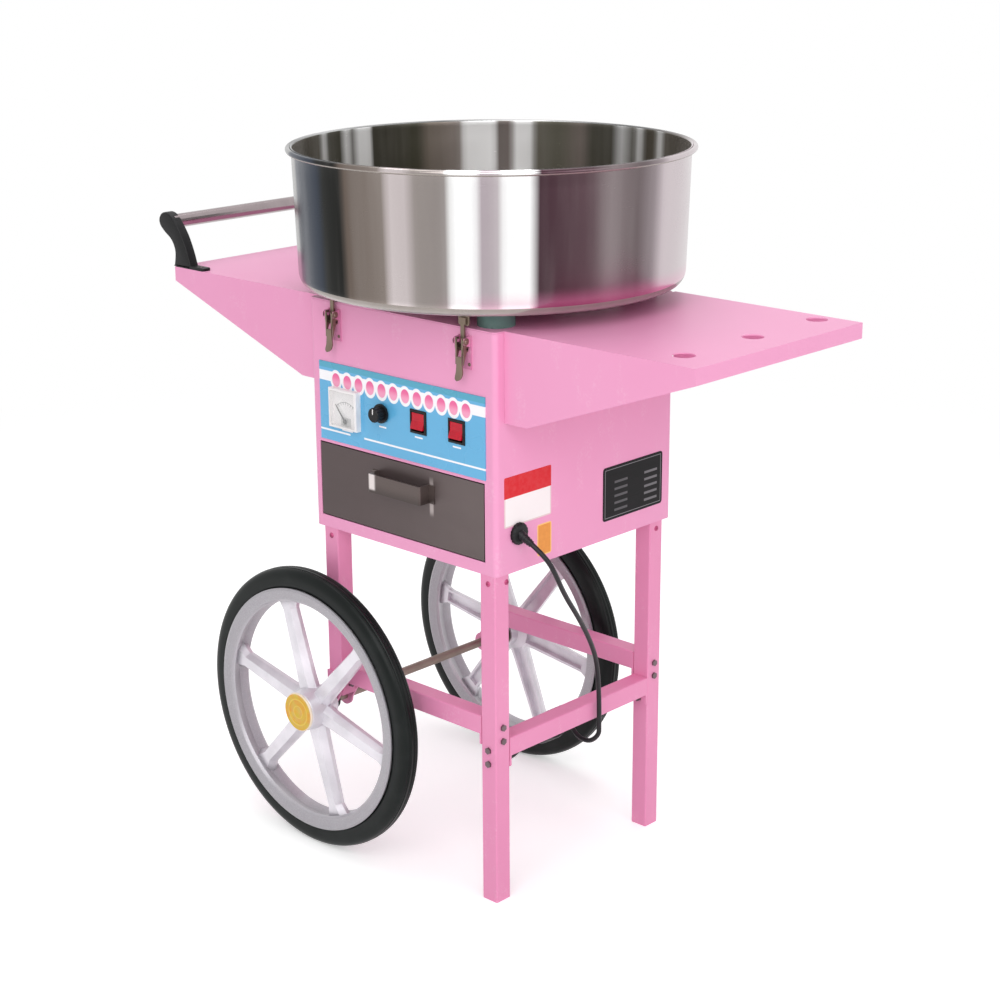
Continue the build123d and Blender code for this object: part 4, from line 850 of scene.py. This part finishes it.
def screwShape(place, heading, radius=3.6, height=1.8):
    # A domed head on polar rings; the cross recess sinks where either of two bars crosses the dome.
    side, lift, ahead = axesFor(heading)
    shares, turns = np.linspace(0, 1, 9), np.linspace(0, 2 * np.pi, 32, endpoint=False)
    share, turn = np.meshgrid(shares, turns, indexing="ij")
    a, b = share * np.cos(turn), share * np.sin(turn)
    dome = height * np.sqrt(np.clip(1 - (share * 0.98) ** 2.4, 0, 1))
    cross = np.minimum(np.abs(a), np.abs(b)) < 0.13
    dome = dome - 0.55 * height * (cross & (share < 0.62))
    top = np.array(place) + radius * (a[..., None] * side + b[..., None] * lift) + dome[..., None] * ahead
    edge = np.cos(turn[:1])[..., None] * side + np.sin(turn[:1])[..., None] * lift
    points = np.concatenate([top, np.array(place) + radius * edge])
    faces = gridFaces(10, 32, False, True).tolist()
    faces.append([9 * 32 + n for n in range(32)])
    return points, faces


screwSettings = {
    "legTop": 433.0, "legFront": -168.4, "legRear": 156.2, "rightX": 149.85, "leftX": -136.25,
    "rightFace": 161.55, "leftFace": -149.95, "frontY": -147.7, "rearY": 143.5, "backX": (-146.0, 0.0, 146.0),
    "backZ": (456.0, 736.0), "backFace": 167.1,
}


def makeScrews(s):
    legs = []
    for x in (s["rightX"], s["leftX"]):
        legs.append(screwShape((x, s["legFront"], s["legTop"]), (0, -1, 0)))
        legs.append(screwShape((x, s["legRear"], s["legTop"]), (0, 1, 0)))
    for y in (s["frontY"], s["rearY"]):
        legs.append(screwShape((s["rightFace"], y, s["legTop"]), (1, 0, 0)))
        legs.append(screwShape((s["leftFace"], y, s["legTop"]), (-1, 0, 0)))
    addPiece("legScrews", *merged(legs), "root", "fastener_metal", screwPink, (), 30)
    back = [screwShape((x, s["backFace"], z), (0, 1, 0), 3.2, 1.5) for x in s["backX"] for z in s["backZ"]]
    addPiece("backScrews", *merged(back), "root", "fastener_metal", fastenerMetal, (), 30)


makeStickers(stickerSettings)
makeScrews(screwSettings)
print("stickers and screws placed")


# handle brackets

handleSettings = {
    "tube": (-472.0, 811.0), "rise": 61.0, "width": 15.0, "edge": 2.2, "foot": (-463.0, -402.0),
    "footHeight": 4.0,
    "outline": ((0.115, 0.0), (0.164, 0.344), (0.049, 0.59), (-0.20, 0.765), (-0.34, 0.90), (-0.366, 1.04),
                (-0.28, 1.165), (-0.12, 1.21), (0.055, 1.155), (0.213, 1.0), (0.34, 0.84), (0.459, 0.656),
                (0.60, 0.35), (0.721, 0.0)),
    "screws": (-436.0, -414.0),
}


def makeBrackets(s):  # the hooked outline smoothed and carried across the bracket, with rounded long edges
    (x, z), (low, high) = s["tube"], (corner[1] * 1000 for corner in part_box("handle_brackets"))
    half, r, base = s["width"] / 2, s["edge"], z - s["rise"]
    outline = smoothLine(np.array(s["outline"]) * s["rise"])[::-1]
    rings = [inset(outline, r - r * math.cos(a)) for a in np.radians((0, 30, 60, 90))]
    depths = [half - r + r * math.sin(a) for a in np.radians((0, 30, 60, 90))]
    parts, screws = [], []
    for y in (low + half, high - half):
        parts.append(plates(rings[::-1] + rings, (x, y, base), (1, 0, 0), (0, 0, 1),
                            [-d for d in depths[::-1]] + depths))
        foot0, foot1 = s["foot"]
        plate = roundedOutline(foot1 - foot0, s["width"], 3.5, 6)
        parts.append(plates([plate, plate, inset(plate, 0.8)], ((foot0 + foot1) / 2, y, base), (1, 0, 0),
                            (0, 1, 0), (0, s["footHeight"] - 0.8, s["footHeight"])))
        screws += [screwShape((sx, y, base + s["footHeight"] - 0.05), (0, 0, 1), 3.2, 1.4)
                   for sx in s["screws"]]
    addPiece("handleHooks", *merged(parts), "root", "black_plastic", blackPlastic, ("handle_brackets",), 40)
    addPiece("handleScrews", *merged(screws), "root", "fastener_metal", fastenerMetal, (), 30)


makeBrackets(handleSettings)
print("handle brackets made")


# latches

latchSettings = {
    "x": 116.0, "face": 168.9, "bottom": 687.0, "top": 739.5, "split": 716.0, "stand": 10.75, "kick": 4.5,
    "kickTop": 697.0, "width": ((0, 5.5), (0.16, 5.7), (0.42, 4.4), (0.6, 4.7), (0.78, 6.8), (1, 6.8)),
    "window": 4.0, "thick": 1.5,
    "cheek": ((10.6, 706), (10.6, 739), (5.5, 739), (4.9, 733), (1.9, 726), (2.4, 722.5), (5.4, 721)),
    "cheekAt": 5.5, "hookPin": (4.4, 725.0), "pin": (8.0, 735.0), "ear": 8.95, "rivets": (7.6, 706.0),
    "rivetFace": 170.4,
}


def strapShape(s, x, side, low, high, inner=None):
    # Rings across the strap: its width follows the height, the foot kicks outwards, and the front is crowned.
    share = (1 - np.cos(np.linspace(0, np.pi, 22))) / 2
    z = low + (high - low) * share
    t = (z - s["bottom"]) / (s["top"] - s["bottom"])
    wide = np.interp(t, *np.array(s["width"]).T)
    for end in (t / 0.11, (1 - t) / 0.09):
        wide = wide * np.sqrt(np.clip(1 - (1 - np.minimum(end, 1)) ** 2, 0.003, 1))
    out = s["stand"] + s["kick"] * np.clip((s["kickTop"] - z) / 10, 0, 1) ** 1.5
    across = np.linspace(-1, 1, 9)
    if inner is None:
        a = wide[:, None] * across
    else:
        a = np.sign(inner) * (abs(inner) + np.maximum(wide - abs(inner), 0.1)[:, None] * (across + 1) / 2)
    crown = 0.45 * (1 - across ** 2)
    depth, level, flat = s["face"] + out[:, None], z[:, None], 0 * a
    front = np.stack([x + a, side * (depth + s["thick"] / 2 + crown), level + flat], -1)
    back = np.stack([x + a, side * (depth - s["thick"] / 2 + flat), level + flat], -1)
    points = np.concatenate([front, back[:, ::-1]], 1)
    rows, columns = points.shape[:2]
    faces = gridFaces(rows, columns, False, True).tolist()
    return points, faces + [list(range(columns)), list(range((rows - 1) * columns, rows * columns))]


def rivetShape(place, heading, radius, height):
    dome = [(0, height), (radius * 0.35, height * 0.95), (radius * 0.5, height * 0.4),
            (radius * 0.92, height * 0.3), (radius, 0), (0, 0)]
    return spun(dome, place, heading, 24), gridFaces(6, 24, False, True)


def makeLatches(s):
    rivets = []
    for n, (side, x) in enumerate((side, x) for side in (-1, 1) for x in (-s["x"], s["x"])):
        parts = [strapShape(s, x, side, s["bottom"], s["split"])]
        parts += [strapShape(s, x, side, s["split"] - 1, s["top"], inner)
                  for inner in (-s["window"], s["window"])]
        cheek = np.array(s["cheek"])
        for at in (-s["cheekAt"] - s["thick"], s["cheekAt"]):
            parts.append(plates([cheek, cheek], (x + side * at, side * s["face"], 0), (0, side, 0), (0, 0, 1),
                                (0, s["thick"])))
        out, z = s["hookPin"]
        pin = [(0, -7), (1.5, -7), (1.5, 7), (0, 7)]
        parts.append((spun(pin, (x, side * (s["face"] + out), z), (1, 0, 0), 20),
                      gridFaces(4, 20, False, True)))
        name = str(n + 1)
        addPiece("latchLever" + name, *merged(parts), "lever_" + name, "latch_metal", latchMetal,
                 ("latch_lever_" + name,), 35)
        out, z = s["pin"]
        rivets += [rivetShape((x + turn * s["ear"], side * (s["face"] + out), z), (turn, 0, 0), 4.8, 1.5)
                   for turn in (-1, 1)]
        shift, z = s["rivets"]
        rivets += [rivetShape((x + turn * shift, side * s["rivetFace"], z), (0, side, 0), 2.3, 1.2)
                   for turn in (-1, 1)]
    addPiece("latchRivets", *merged(rivets), "root", "latch_metal", latchMetal)


makeLatches(latchSettings)


# knob

knobSettings = {"middle": (-31.0, 618.7), "face": -187.0, "length": 7.0, "rise": 4.6}


def makePointer(s):  # the light line on the knob's face
    x, z = s["middle"]
    bar = roundedOutline(1.4, s["length"], 0.6, 3)
    points, faces = plates([bar, bar, bar * 0.9], (x, s["face"], z + s["rise"]), (1, 0, 0), (0, 0, 1),
                           (0, 0.3, 0.4))
    addPiece("knobPointer", points, faces, "knob", "meter_white", meterWhite)


makePointer(knobSettings)
print("latches and trims made")


# floor, world and lamps

stageSettings = {
    "floorSize": 40.0, "floorTint": (250, 250, 250), "lift": 0.34, "fade": (0.9, 2.6), "world": 0.56,
    "lamps": (  # name, place in metres, aim, size, watts
        ("keyLamp", (1.9, -3.1, 2.9), (0.1, 0.0, 0.55), 3.4, 78.0),
        ("fillLamp", (3.6, -0.4, 1.7), (0.0, 0.0, 0.5), 2.4, 28.0),
        ("topLamp", (-0.6, 0.4, 4.2), (0.0, 0.0, 0.6), 2.6, 48.0),
    ),
}


def makeStage(s):
    size = s["floorSize"]
    mesh = bpy.data.meshes.new("studioFloor")
    corners = np.array([(-1, -1, 0), (1, -1, 0), (1, 1, 0), (-1, 1, 0)]) * size / 2
    mesh.from_pydata(corners.tolist(), [], [(0, 1, 2, 3)])
    floor = bpy.data.objects.new("studioFloor", mesh)
    bpy.context.scene.collection.objects.link(floor)
    f = Finish("studioFloor")
    rays = ("Is Camera Ray", "Is Glossy Ray", "Is Transmission Ray")
    paths = [f.node("LightPath", output=name) for name in rays]
    seen = paths[0].math("MAXIMUM", paths[1]).math("MAXIMUM", paths[2])
    matt = f.node("BsdfDiffuse", {}, {"Color": tint(*s["floorTint"])})
    glow = f.node("Emission", {}, {"Color": (1, 1, 1, 1), "Strength": seen * s["lift"]})
    both = f.node("AddShader", {}, {0: matt, 1: glow})
    middle, half = sum(s["fade"]) * 500, (s["fade"][1] - s["fade"][0]) * 500
    # far floor turns into the white backdrop
    away = (f.x * f.x + f.y * f.y).math("SQRT").above(middle, half) * seen
    white = f.node("Emission", {}, {"Color": (1, 1, 1, 1), "Strength": 1.0})
    whole = f.node("MixShader", {}, {0: away, 1: both, 2: white})
    f.tree.links.new(whole.socket, f.output.inputs["Surface"])
    mesh.materials.append(f.material)

    world = bpy.data.worlds.new("studioWorld")
    world.use_nodes = True
    tree = world.node_tree
    back = tree.nodes["Background"]
    path = tree.nodes.new("ShaderNodeLightPath")
    most = path.outputs[rays[0]]
    for name in rays[1:]:
        larger = tree.nodes.new("ShaderNodeMath")
        larger.operation = "MAXIMUM"
        tree.links.new(most, larger.inputs[0])
        tree.links.new(path.outputs[name], larger.inputs[1])
        most = larger.outputs[0]
    strength = tree.nodes.new("ShaderNodeMapRange")
    strength.inputs["To Min"].default_value = s["world"]
    strength.inputs["To Max"].default_value = 1.0
    tree.links.new(most, strength.inputs["Value"])
    tree.links.new(strength.outputs[0], back.inputs["Strength"])
    back.inputs["Color"].default_value = (1, 1, 1, 1)
    bpy.context.scene.world = world

    for name, place, aim, width, watts in s["lamps"]:
        data = bpy.data.lights.new(name, "AREA")
        data.size, data.energy = width, watts
        lamp = bpy.data.objects.new(name, data)
        bpy.context.scene.collection.objects.link(lamp)
        lamp.location = place
        lamp.rotation_euler = (Vector(aim) - Vector(place)).to_track_quat("-Z", "Y").to_euler()


makeStage(stageSettings)
bpy.context.scene.view_settings.view_transform = "Standard"
print("stage lit")
